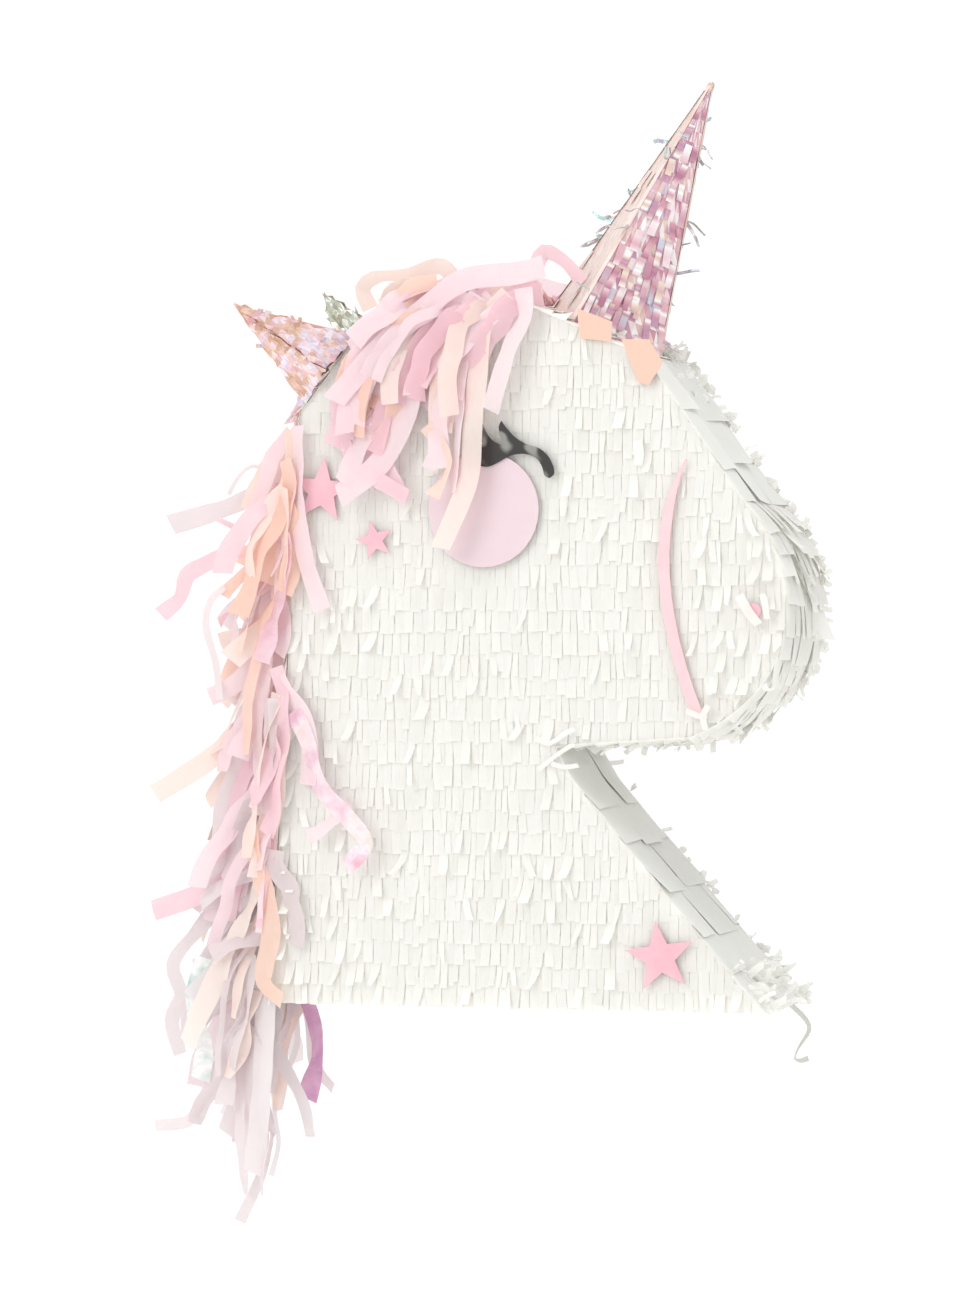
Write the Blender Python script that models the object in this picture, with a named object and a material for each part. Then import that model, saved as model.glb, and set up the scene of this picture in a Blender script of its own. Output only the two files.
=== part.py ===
"""A flat-sided card pinata in the shape of a unicorn's head, built as it is made.

Two card side panels are joined by card edge strips and faced with fringed tissue. A hollow card horn
and two folded ears stand on top, streamer locks hang from the crown and the nape, and thin cut-outs
are glued on both faces. A fill flap turns on its top edge in the rear panel, and a wire loop swings
in a strap on the crown.

Metres, +Z up, +X towards the nose, -Y the front face. The origin is the top of the hanging loop.
Places on the head are shares of its width, from the base's back corner, and of its height.
"""

import math

import bmesh
import bpy
from mathutils import Matrix, Vector

# Overall sizes
HEAD_WIDTH = 0.290  # back corner of the base to the muzzle
HEAD_HEIGHT = 0.380  # base to crown
BODY_DEPTH = 0.088  # outside of one side panel to outside of the other
BALANCE = 0.387  # share of the width where the loop stands

# Card, tissue and clearances
PANEL_CARD = 0.003
STRIP_CARD = 0.002
FRINGE_DEPTH = 0.003
CUTOUT_PAPER = 0.0008
GAP = 0.0003

# Corners of the side outline, and the handles of the muzzle's curve
CORNERS = {
    "base_back": (0.000, 0.000),
    "nape_top": (0.060, 0.851),
    "poll_top": (0.181, 0.967),
    "crown_back": (0.260, 1.000),
    "crown_front": (0.500, 1.000),
    "brow": (0.736, 0.920),
    "bridge_end": (0.918, 0.718),
    "muzzle_upper_handle": (1.035, 0.634),
    "muzzle_lower_handle": (1.049, 0.453),
    "chin": (0.819, 0.385),
    "mouth": (0.558, 0.373),
    "gullet": (0.598, 0.321),
    "base_front": (0.957, 0.000),
}
MUZZLE_STEPS = 16
RUNS = {
    "nape": ("base_back", "nape_top"),
    "crown": ("nape_top", "poll_top", "crown_back", "crown_front"),
    "horn_seat": ("crown_front", "brow"),
    "bridge": ("brow", "bridge_end"),
    "muzzle": ("bridge_end", "muzzle_upper_handle", "muzzle_lower_handle", "chin"),
    "jaw": ("chin", "mouth"),
    "throat": ("mouth", "gullet", "base_front"),
    "base": ("base_front", "base_back"),
}
FRINGED_RUNS = ("nape", "bridge", "muzzle", "jaw", "throat")

# Hanging loop, its strap and the plate under the crown
LOOP_WIRE = 0.0011  # radius
LOOP_WIDTH = 0.020  # between the wire's centre lines
LOOP_LEG = 0.0044  # straight part of each side
LOOP_CORNER = 0.004
LOOP_PLAY = 0.0004
STRAP_THICKNESS = 0.0008
STRAP_WIDTH = 0.010
STRAP_LENGTH = 0.030
STIFFENER_LENGTH = 0.060
STIFFENER_WIDTH = 0.056
STIFFENER_CARD = 0.003

# Fill flap in the rear panel
FLAP_WIDTH = 0.080
FLAP_HEIGHT = 0.090
FLAP_TOP = (0.340, 0.345)  # middle of the hinge
FLAP_PLAY = 0.0008
FLAP_FRINGE_CLEARANCE = 0.005  # bare card below the hinge, and bare panel above it

# Horn
HORN_SIDE = 0.052
HORN_HEIGHT = 0.147
HORN_CARD = 0.0015
HORN_FILM = 0.0012
HORN_ALONG_SEAT = 0.48
HORN_TWIST = math.radians(30)
HORN_TABS = {
    "back": ((0.605, 0.990), (0.672, 0.970), (0.670, 0.942), (0.610, 0.948)),
    "front": ((0.690, 0.945), (0.742, 0.944), (0.768, 0.912), (0.742, 0.880), (0.722, 0.884)),
}

# Ears: half the base, and the tip measured square to the poll, along it, and sideways
EAR_HALF_BASE = 0.0235
EAR_CARD = 0.0012
EAR_FILM = 0.0010
EAR_FOLD = 0.009
EAR_TIPS = {"near": (-1, 0.051, 0.001, 0.045), "far": (1, 0.061, 0.015, 0.020)}

# Cut-outs on both faces
CHEEK_AT = (0.424, 0.707)
CHEEK_RADIUS = 0.031
STARS = {
    "neck": ((0.763, 0.077), 0.0195, 8),
    "temple": ((0.106, 0.736), 0.0185, -6),
    "small": ((0.211, 0.665), 0.0110, 14),
}
STAR_WAIST = 0.42  # inner radius against outer
NOSTRIL_AT = (0.938, 0.562)
NOSTRIL_RADIUS = 0.0045
HALTER = ((0.812, 0.775), (0.718, 0.635), (0.835, 0.415))  # ends and handle of its curve
HALTER_WIDTH = 0.006
EYE_AT = (0.490, 0.787)
LASH_OUTLINE_MM = (
    (-17.5, -4.2), (-12.0, -6.0), (-5.5, -2.0), (0.5, -0.2), (7.5, -1.5), (12.5, -5.5), (16.0, -12.5),
    (20.5, -10.5), (17.6, -3.0), (9.7, 4.0), (0.6, 7.3), (-5.0, 11.5), (-9.5, 17.5), (-9.8, 8.5),
    (-19.0, 16.0), (-15.5, 6.0), (-29.5, 6.0), (-21.0, 0.0),
)

# Streamer locks
LOCK_THICKNESS = 0.0025
LOCK_STEPS = 5
NAPE_LOCKS = {  # height of the root on the nape, middle and width across the body, and the rest of the fall
    "nape_lock_1": (0.820, 0.000, 0.056, ((-0.06, 0.77), (-0.15, 0.72), (-0.24, 0.66))),
    "nape_lock_2": (0.700, 0.004, 0.060, ((-0.06, 0.64), (-0.12, 0.58), (-0.18, 0.49))),
    "nape_lock_3": (0.580, -0.004, 0.060, ((-0.06, 0.49), (-0.15, 0.38), (-0.27, 0.29))),
    "nape_lock_4": (0.450, 0.003, 0.060, ((-0.07, 0.32), (-0.17, 0.20), (-0.29, 0.13))),
    "nape_lock_5": (0.310, 0.000, 0.058, ((-0.10, 0.19), (-0.17, 0.09), (-0.23, -0.02))),
    "nape_lock_6": (0.200, -0.002, 0.050, ((-0.10, 0.07), (-0.15, -0.10), (-0.25, -0.20))),
    "tail_lock_near": (0.090, -0.018, 0.030, ((-0.07, -0.05), (-0.06, -0.18), (-0.10, -0.31))),
    "tail_lock_far": (0.080, 0.022, 0.024, ((-0.05, -0.02), (-0.03, -0.08), (-0.04, -0.15))),
}
FIRST_MAUVE_LOCK = 4  # the nape locks above it are peach and pink in turn
FACE_LOCKS = {  # side, layer, width and route down the face
    "forelock_near_1": (-1, 0, 0.024, ((0.420, 1.020), (0.340, 1.000), (0.240, 0.930), (0.150, 0.840))),
    "forelock_near_2": (-1, 1, 0.026, ((0.440, 1.025), (0.350, 0.970), (0.270, 0.820), (0.170, 0.730))),
    "forelock_near_3": (-1, 2, 0.024, ((0.470, 1.025), (0.425, 0.930), (0.410, 0.780), (0.360, 0.660))),
    "forelock_far_1": (1, 0, 0.026, ((0.420, 1.020), (0.340, 0.980), (0.240, 0.860), (0.190, 0.740))),
    "forelock_far_2": (1, 1, 0.024, ((0.470, 1.020), (0.430, 0.930), (0.390, 0.800), (0.370, 0.690))),
}
CROWN_LOCK_BACK = (0.006, 0.050, ((0.310, 1.020), (0.270, 1.052), (0.200, 1.045), (0.150, 1.010)))
CROWN_LOCK_FRONT = (0.020, 0.034, 0.017)  # middle and width across the body, and height of its arch
LOCK_CLEARANCE = 0.002  # from the front arch to the loop behind it and the horn before it

# What follows from the sizes above
HALF_DEPTH = BODY_DEPTH / 2
FACE_FRINGE_OUT = HALF_DEPTH + GAP + FRINGE_DEPTH
CUTOUT_OUT = FACE_FRINGE_OUT + GAP + CUTOUT_PAPER
SECOND_CUTOUT_OUT = CUTOUT_OUT + GAP + CUTOUT_PAPER
WIRE_HEIGHT = LOOP_WIRE + LOOP_PLAY  # of the wire's centre line over the crown
LOOP_TOP = WIRE_HEIGHT + LOOP_LEG + LOOP_WIDTH / 2 + LOOP_WIRE
HEAD_CORNER = Vector((-BALANCE * HEAD_WIDTH, 0, -LOOP_TOP - HEAD_HEIGHT))

FINISHES = {  # sRGB colour, roughness, metallic
    "white_card": ("F2F1EC", 0.9, 0),
    "white_tissue": ("FAFAF5", 0.85, 0),
    "peach_card": ("F3C3B0", 0.85, 0),
    "iridescent_film": ("D9A8C4", 0.25, 0),
    "pink_tissue": ("F2C6D2", 0.8, 0),
    "peach_tissue": ("F6C2AC", 0.8, 0),
    "mauve_tissue": ("E2D3D8", 0.8, 0),
    "pink_paper": ("F2C8D0", 0.75, 0),
    "blush_paper": ("F4E0E6", 0.6, 0),
    "black_foil": ("3A3636", 0.3, 0),
    "steel_wire": ("B8B8B8", 0.35, 1),
    "white_webbing": ("E9E7E1", 0.9, 0),
}


def linear(value):
    """One sRGB channel, 0 to 1, as a linear value."""
    return value / 12.92 if value <= 0.04045 else ((value + 0.055) / 1.055) ** 2.4


def finish(name):
    """The material of this name, made the first time that it is asked for."""
    if name in bpy.data.materials:
        return bpy.data.materials[name]
    colour, roughness, metallic = FINISHES[name]
    made = bpy.data.materials.new(name)
    made.use_nodes = True
    shader = made.node_tree.nodes["Principled BSDF"]
    channels = [linear(int(colour[i : i + 2], 16) / 255) for i in (0, 2, 4)]
    shader.inputs["Base Color"].default_value = (*channels, 1)
    shader.inputs["Roughness"].default_value = roughness
    shader.inputs["Metallic"].default_value = metallic
    return made


def piece(name, mesh, finish_name, location=(0, 0, 0)):
    """Links an object with this mesh and finish."""
    mesh.materials.append(finish(finish_name))
    made = bpy.data.objects.new(name, mesh)
    made.location = location
    bpy.context.scene.collection.objects.link(made)
    return made


def mesh_of(name, points, faces):
    """A mesh whose faces all point out."""
    form = bmesh.new()
    verts = [form.verts.new(point) for point in points]
    for face in faces:
        form.faces.new([verts[i] for i in face])
    bmesh.ops.recalc_face_normals(form, faces=form.faces)
    mesh = bpy.data.meshes.new(name)
    form.to_mesh(mesh)
    form.free()
    return mesh


def plate_mesh(name, outline, low, high):
    """An outline in X and Z, extruded along Y from low to high."""
    count = len(outline)
    points = [(x, y, z) for y in (low, high) for x, z in outline]
    sides = [(i, (i + 1) % count, count + (i + 1) % count, count + i) for i in range(count)]
    return mesh_of(name, points, [range(count), range(count, 2 * count), *sides])


def cut(target, cutter):
    """Takes the cutter away from the target, and leaves the cutter out of the build."""
    cutter.hide_render = True
    cutter.display_type = "WIRE"
    boolean = target.modifiers.new(cutter.name, "BOOLEAN")
    boolean.operation = "DIFFERENCE"
    boolean.solver = "EXACT"
    boolean.object = cutter


def on_head(u, v):
    """A place on the head's side view, in metres from the base's back corner."""
    return Vector((u * HEAD_WIDTH, v * HEAD_HEIGHT))


def bezier(ends, steps):
    """Points along a curve with two, one or no handles between its ends, the first end left in."""
    order = len(ends) - 1
    weights = [math.comb(order, i) for i in range(order + 1)]
    points = []
    for step in range(steps + 1):
        t = step / steps
        shares = [w * t**i * (1 - t) ** (order - i) for i, w in enumerate(weights)]
        points.append(sum((p * s for p, s in zip(ends, shares)), Vector((0,) * len(ends[0]))))
    return points


def smooth_route(points, steps):
    """A curve through every point, read at equal steps between each two (Catmull-Rom)."""
    ends = [2 * points[0] - points[1], *points, 2 * points[-1] - points[-2]]
    route = []
    for a, b, c, d in zip(ends, ends[1:], ends[2:], ends[3:]):
        for step in range(steps):
            t = step / steps
            bend, twist = 2 * a - 5 * b + 4 * c - d, 3 * b - a - 3 * c + d
            route.append(0.5 * (2 * b + (c - a) * t + bend * t**2 + twist * t**3))
    return [*route, points[-1]]


def head_outline():
    """The side outline, clockwise, and where each run of it starts and ends."""
    outline, spans = [], {}
    for run, names in RUNS.items():
        corners = [on_head(*CORNERS[name]) for name in names]
        points = bezier(corners, MUZZLE_STEPS) if run == "muzzle" else corners
        spans[run] = (len(outline), len(outline) + len(points) - 1)
        outline.extend(points[:-1])
    return outline, spans


def offset(outline, distance):
    """The closed outline moved out by a distance, with mitred corners."""
    moved = []
    for before, here, after in zip([outline[-1], *outline], outline, [*outline[1:], outline[0]]):
        first, second = (here - before).normalized(), (after - here).normalized()
        out = Vector((-first.y - second.y, first.x + second.x)).normalized()
        moved.append(here + out * distance / out.dot(Vector((-first.y, first.x))))
    return moved


def edge_band(outline, span, inner, outer, start_later=0):
    """The outline of a strip along one run, between two offsets, with a gap left at both mitres.

    start_later also leaves that length bare at the run's start.
    """
    start, end = span
    rows = [offset(outline, distance) for distance in (outer, inner)]
    rows = [[row[i % len(row)] for i in range(start, end + 1)] for row in rows]
    for near, far, bare in ((0, 1, start_later), (-1, -2, 0)):
        along = (rows[0][far] - rows[0][near]).normalized()
        mitre = (rows[0][near] - rows[1][near]).normalized()
        pull = along * (bare + GAP / 2 / abs(along.x * mitre.y - along.y * mitre.x))
        for row in rows:
            row[near] = row[near] + pull
    return [*rows[0], *reversed(rows[1])]


def head_plate(name, outline, y_near, y_far, finish_name):
    """A plate with an outline on the head, between two depths."""
    mesh = plate_mesh(name, outline, 0, y_far - y_near)
    return piece(name, mesh, finish_name, HEAD_CORNER + Vector((0, y_near, 0)))


def face_plate(name, side, outline, inner, outer, finish_name):
    """A plate on the near (side -1) or far (side 1) face, from inner to outer off the middle."""
    low, high = sorted((side * inner, side * outer))
    return head_plate(name, outline, low, high, finish_name)


def horn_seat():
    """The middle of the horn's foot, its lean, and how far its corners reach back and forward."""
    back, front = (on_head(*CORNERS[name]) for name in ("crown_front", "brow"))
    seat = front - back
    lean = math.atan2(-seat.y, seat.x)
    film = (GAP + HORN_FILM) / math.cos(math.atan(HORN_SIDE / 2 / HORN_HEIGHT))
    reach = (HORN_SIDE / 2 + film) * math.sqrt(2) * math.cos(math.pi / 4 - HORN_TWIST)
    return back + seat * HORN_ALONG_SEAT, lean, reach


def build_shell():
    """Side panels, edge strips and the fringe that covers them."""
    outline, spans = head_outline()
    panels = {
        label: face_plate(f"{label}_panel", side, outline, HALF_DEPTH - PANEL_CARD, HALF_DEPTH, "white_card")
        for label, side in (("front", -1), ("rear", 1))
    }
    fringes = {
        label: face_plate(f"{label}_fringe", side, outline, HALF_DEPTH + GAP, FACE_FRINGE_OUT, "white_tissue")
        for label, side in (("front", -1), ("rear", 1))
    }
    inside = HALF_DEPTH - PANEL_CARD - GAP
    for run, span in spans.items():
        strip = edge_band(outline, span, -STRIP_CARD, 0)
        head_plate(f"{run}_strip", strip, -inside, inside, "white_card")
    foot, _, reach = horn_seat()
    overhang = max(0, reach - (on_head(*CORNERS["brow"]) - foot).length)
    for run in FRINGED_RUNS:
        bare = overhang if run == "bridge" else 0
        skin = edge_band(outline, spans[run], GAP, GAP + FRINGE_DEPTH, bare)
        head_plate(f"{run}_fringe", skin, -HALF_DEPTH, HALF_DEPTH, "white_tissue")
    return panels["rear"], fringes["rear"]


def box_outline(middle_x, top, width, height):
    """A rectangle hung from the middle of its top side."""
    left, right = middle_x - width / 2, middle_x + width / 2
    return [Vector(p) for p in ((left, top), (right, top), (right, top - height), (left, top - height))]


def build_flap(rear_panel, rear_fringe):
    """The fill flap, its fringe and the openings it closes. Its hinge is the panel's outer top edge."""
    hinge = on_head(*FLAP_TOP)
    hole = box_outline(hinge.x, hinge.y, FLAP_WIDTH, FLAP_HEIGHT)
    bare = box_outline(
        hinge.x, hinge.y + FLAP_FRINGE_CLEARANCE, FLAP_WIDTH, FLAP_HEIGHT + FLAP_FRINGE_CLEARANCE
    )
    for name, target, shape, inner, outer in (
        ("flap_cutter", rear_panel, hole, HALF_DEPTH - PANEL_CARD, HALF_DEPTH),
        ("flap_fringe_cutter", rear_fringe, bare, HALF_DEPTH, FACE_FRINGE_OUT),
    ):
        cut(target, face_plate(name, 1, shape, inner - PANEL_CARD, outer + PANEL_CARD, "white_card"))

    axis = bpy.data.objects.new("fill_flap_hinge", None)
    axis.location = HEAD_CORNER + Vector((hinge.x, HALF_DEPTH, hinge.y))
    bpy.context.scene.collection.objects.link(axis)
    card = box_outline(0, -FLAP_PLAY, FLAP_WIDTH - 2 * FLAP_PLAY, FLAP_HEIGHT - 2 * FLAP_PLAY)
    fringe = box_outline(
        0, -FLAP_FRINGE_CLEARANCE, FLAP_WIDTH - 2 * FLAP_PLAY, FLAP_HEIGHT - FLAP_FRINGE_CLEARANCE - FLAP_PLAY
    )
    for name, shape, low, high, finish_name in (
        ("fill_flap", card, -PANEL_CARD, 0, "white_card"),
        ("flap_fringe", fringe, GAP, GAP + FRINGE_DEPTH, "white_tissue"),
    ):
        made = piece(name, plate_mesh(name, shape, low, high), finish_name)
        made.parent = axis


def loop_route():
    """The wire's centre line in X and Z from the hinge axis: a level side, two legs and a round top."""
    half, corner = LOOP_WIDTH / 2, LOOP_CORNER
    arcs = (
        (half - corner, corner, corner, -90, 0, 5),
        (0, LOOP_LEG, half, 0, 180, 16),
        (corner - half, corner, corner, 180, 270, 5),
    )
    route = []
    for x, z, radius, start, end, steps in arcs:
        for step in range(steps + 1):
            turn = math.radians(start + (end - start) * step / steps)
            route.append((x + radius * math.cos(turn), z + radius * math.sin(turn)))
    return route


def build_loop():
    """The hanging loop, the strap it swings in and the card plate that takes the pull."""
    curve = bpy.data.curves.new("hanging_loop", "CURVE")
    curve.dimensions = "3D"
    curve.bevel_depth = LOOP_WIRE
    curve.bevel_resolution = 2
    route = loop_route()
    spline = curve.splines.new("POLY")
    spline.points.add(len(route) - 1)
    for point, (x, z) in zip(spline.points, route):
        point.co = (x, 0, z, 1)
    spline.use_cyclic_u = True
    piece("hanging_loop", curve, "steel_wire", (0, 0, WIRE_HEIGHT - LOOP_TOP))

    inner, outer = LOOP_WIRE + LOOP_PLAY, LOOP_WIRE + LOOP_PLAY + STRAP_THICKNESS
    half, floor = STRAP_LENGTH / 2, GAP - WIRE_HEIGHT
    turns = [math.pi * step / 8 for step in range(9)]
    over = [(-outer * math.cos(t), outer * math.sin(t)) for t in turns]
    under = [(inner * math.cos(t), inner * math.sin(t)) for t in turns]
    lift = floor + STRAP_THICKNESS
    profile = [(-half, floor), (-half, lift), (-outer, lift), *over, (outer, lift), (half, lift),
               (half, floor), (inner, floor), *under, (-inner, floor)]
    strap = plate_mesh("loop_strap", profile, -STRAP_WIDTH / 2, STRAP_WIDTH / 2)
    strap.transform(Matrix.Rotation(math.pi / 2, 4, "Z"))
    piece("loop_strap", strap, "white_webbing", (0, 0, WIRE_HEIGHT - LOOP_TOP))

    half_x, half_y = STIFFENER_LENGTH / 2, STIFFENER_WIDTH / 2
    sheet = [(-half_x, -STIFFENER_CARD), (half_x, -STIFFENER_CARD), (half_x, 0), (-half_x, 0)]
    middle = sum(CORNERS[name][0] for name in ("crown_back", "crown_front")) / 2 * HEAD_WIDTH
    under_crown = -LOOP_TOP - STRIP_CARD - GAP
    plate = plate_mesh("crown_stiffener", sheet, -half_y, half_y)
    piece("crown_stiffener", plate, "peach_card", (HEAD_CORNER.x + middle, 0, under_crown))


def pyramid_shell(name, inner_out, outer_out):
    """A four-sided hollow point, open at its base, between two distances off the horn's outside."""
    slope = math.atan(HORN_SIDE / 2 / HORN_HEIGHT)
    points = []
    for distance in (outer_out, inner_out):
        half = HORN_SIDE / 2 + distance / math.cos(slope)
        points += [(half, half, 0), (-half, half, 0), (-half, -half, 0), (half, -half, 0)]
        points.append((0, 0, half / math.tan(slope)))
    faces = []
    for i in range(4):
        j = (i + 1) % 4
        faces += [(i, j, 4), (5 + i, 5 + j, 9), (i, j, 5 + j, 5 + i)]
    return mesh_of(name, points, faces)


def build_horn():
    """The hollow card horn, its film and the glue tabs at its foot, on the horn seat."""
    foot, lean, _ = horn_seat()
    foot += Vector((math.sin(lean), math.cos(lean))) * GAP
    place = Matrix.Translation(HEAD_CORNER + Vector((foot.x, 0, foot.y)))
    place @= Matrix.Rotation(lean, 4, "Y") @ Matrix.Rotation(HORN_TWIST, 4, "Z")
    skin = GAP + HORN_FILM
    for name, inner, outer, finish_name in (
        ("horn_core", -HORN_CARD, 0, "peach_card"),
        ("horn_film", GAP, skin, "iridescent_film"),
    ):
        piece(name, pyramid_shell(name, inner, outer), finish_name).matrix_world = place
    for label, shares in HORN_TABS.items():
        tab = [on_head(*share) for share in shares]
        face_plate(f"horn_tab_{label}", -1, tab, FACE_FRINGE_OUT + GAP, CUTOUT_OUT, "peach_card")


def build_ear(label, side, rise, along, splay):
    """One ear: a folded card triangle on the poll, and the film on its outer side."""
    low, high = (on_head(*CORNERS[name]) for name in ("nape_top", "poll_top"))
    run = (high - low).normalized()
    out = Vector((-run.y, run.x))
    middle = (low + high) / 2 + out * (GAP + EAR_CARD + EAR_FILM)

    def spot(along_poll, square, sideways):
        place = middle + run * along_poll + out * square
        return HEAD_CORNER + Vector((place.x, side * sideways, place.y))

    foot_depth = HALF_DEPTH - PANEL_CARD
    corners = [
        spot(-EAR_HALF_BASE, 0, foot_depth),
        spot(0, 0, foot_depth + EAR_FOLD),
        spot(EAR_HALF_BASE, 0, foot_depth),
        spot(along, rise, foot_depth + splay),
    ]
    origin = corners[1]
    outward = (corners[1] - corners[0]).cross(corners[3] - corners[0]).normalized()
    outward += (corners[2] - corners[1]).cross(corners[3] - corners[1]).normalized()
    outward.normalize()
    if outward.y * side < 0:
        outward.negate()
    layers = (
        (f"ear_{label}_card", 0, EAR_CARD, "peach_card"),
        (f"ear_{label}_film", EAR_CARD + 2 * GAP, EAR_FILM, "iridescent_film"),
    )
    for name, lift, thickness, finish_name in layers:
        near = [corner - origin + outward * lift for corner in corners]
        far = [corner + outward * thickness for corner in near]
        faces = [(0, 1, 3), (1, 2, 3), (4, 5, 7), (5, 6, 7)]
        faces += [(0, 1, 5, 4), (1, 2, 6, 5), (2, 3, 7, 6), (3, 0, 4, 7)]
        piece(name, mesh_of(name, near + far, faces), finish_name, origin)


def disc_outline(share, radius, sides):
    """A round outline on the head."""
    middle = on_head(*share)
    turns = [math.tau * i / sides for i in range(sides)]
    return [middle + Vector((math.cos(t), math.sin(t))) * radius for t in turns]


def star_outline(share, radius, tilt):
    """A five-pointed star on the head, tilted by degrees."""
    middle = on_head(*share)
    outline = []
    for i in range(10):
        turn = math.radians(90 + tilt + 36 * i)
        reach = radius if i % 2 == 0 else radius * STAR_WAIST
        outline.append(middle + Vector((math.cos(turn), math.sin(turn))) * reach)
    return outline


def halter_outline():
    """The thin curved band behind the muzzle, drawn to a point at its top."""
    route = bezier([on_head(*share) for share in HALTER], 12)
    left, right = [], []
    for i, here in enumerate(route):
        along = (route[min(i + 1, 12)] - route[max(i - 1, 0)]).normalized()
        half = HALTER_WIDTH / 2 * min(1, 0.15 + i / 4)
        left.append(here + Vector((-along.y, along.x)) * half)
        right.append(here - Vector((-along.y, along.x)) * half)
    return [*left, *reversed(right)]


def build_cutouts():
    """Paper and foil cut-outs, alike on both faces. The eyelid lies over the cheek."""
    eye = on_head(*EYE_AT)
    lashes = [eye + Vector(point) / 1000 for point in LASH_OUTLINE_MM]
    first = (FACE_FRINGE_OUT + GAP, CUTOUT_OUT)
    second = (CUTOUT_OUT + GAP, SECOND_CUTOUT_OUT)
    shapes = [
        ("cheek", disc_outline(CHEEK_AT, CHEEK_RADIUS, 36), first, "blush_paper"),
        ("nostril", disc_outline(NOSTRIL_AT, NOSTRIL_RADIUS, 14), first, "pink_paper"),
        ("halter", halter_outline(), first, "pink_paper"),
        ("eyelid", lashes, second, "black_foil"),
    ]
    shapes += [(f"{label}_star", star_outline(*star), first, "pink_paper") for label, star in STARS.items()]
    for name, outline, depths, finish_name in shapes:
        for word, side in (("near", -1), ("far", 1)):
            face_plate(f"{name}_{word}", side, outline, *depths, finish_name)


def band_between(route, half_width):
    """A closed outline round a route in the side view."""
    left, right = [], []
    for i, here in enumerate(route):
        along = (route[min(i + 1, len(route) - 1)] - route[max(i - 1, 0)]).normalized()
        left.append(here + Vector((-along.y, along.x)) * half_width)
        right.append(here - Vector((-along.y, along.x)) * half_width)
    return [*left, *reversed(right)]


def front_arch(rise):
    """Half an ellipse over the crown, between the hanging loop and the horn."""
    foot, lean, reach = horn_seat()
    back = -HEAD_CORNER.x + LOOP_WIDTH / 2 + LOOP_WIRE + LOCK_CLEARANCE
    front = foot.x - reach * math.cos(lean) - LOCK_CLEARANCE
    level = HEAD_HEIGHT + 2 * GAP + LOCK_THICKNESS
    middle, half = (back + front) / 2, (front - back) / 2
    turns = [math.pi * step / (2 * LOCK_STEPS) for step in range(2 * LOCK_STEPS + 1)]
    return [Vector((middle - half * math.cos(t), level + rise * math.sin(t))) for t in turns]


def build_mane():
    """Streamer locks on the nape, the crown and both faces, as thin bands."""
    nape = on_head(*CORNERS["nape_top"])
    clear = 2 * GAP + FRINGE_DEPTH + LOCK_THICKNESS
    for number, (name, (root, middle, width, fall)) in enumerate(NAPE_LOCKS.items()):
        start = Vector((nape.x * root * HEAD_HEIGHT / nape.y - clear, root * HEAD_HEIGHT))
        route = smooth_route([start, *(on_head(*share) for share in fall)], LOCK_STEPS)
        outline = band_between(route, LOCK_THICKNESS / 2)
        tissue = "mauve_tissue" if number >= FIRST_MAUVE_LOCK else ("peach_tissue", "pink_tissue")[number % 2]
        head_plate(name, outline, middle - width / 2, middle + width / 2, tissue)
    middle, width, arch = CROWN_LOCK_BACK
    outline = band_between(smooth_route([on_head(*share) for share in arch], LOCK_STEPS), LOCK_THICKNESS / 2)
    head_plate("crown_lock_back", outline, middle - width / 2, middle + width / 2, "peach_tissue")
    middle, width, rise = CROWN_LOCK_FRONT
    outline = band_between(front_arch(rise), LOCK_THICKNESS / 2)
    head_plate("crown_lock_front", outline, middle - width / 2, middle + width / 2, "peach_tissue")
    for name, (side, layer, width, route) in FACE_LOCKS.items():
        outline = band_between(smooth_route([on_head(*share) for share in route], LOCK_STEPS), width / 2)
        inner = SECOND_CUTOUT_OUT + GAP + layer * (LOCK_THICKNESS + GAP)
        face_plate(name, side, outline, inner, inner + LOCK_THICKNESS, "pink_tissue")


def main():
    """Clears the scene and builds the pinata."""
    for old in list(bpy.data.objects):
        bpy.data.objects.remove(old, do_unlink=True)
    rear_panel, rear_fringe = build_shell()
    build_flap(rear_panel, rear_fringe)
    build_loop()
    build_horn()
    for label, tip in EAR_TIPS.items():
        build_ear(label, *tip)
    build_cutouts()
    build_mane()


main()
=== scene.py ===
"""Looks of a unicorn-head pinata: cut tissue fringe, film horn and ears, and a mane of paper streamers.

Everything is in metres, +Z up, +X towards the nose and -Y the near face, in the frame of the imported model.
Places on the head's side view are shares of its width from the base's back corner, and of its height.
"""

import logging
import math
import random
from dataclasses import dataclass, field
from enum import Enum
from typing import Callable, Sequence

import bpy
from mathutils import Matrix, Vector, noise


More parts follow.
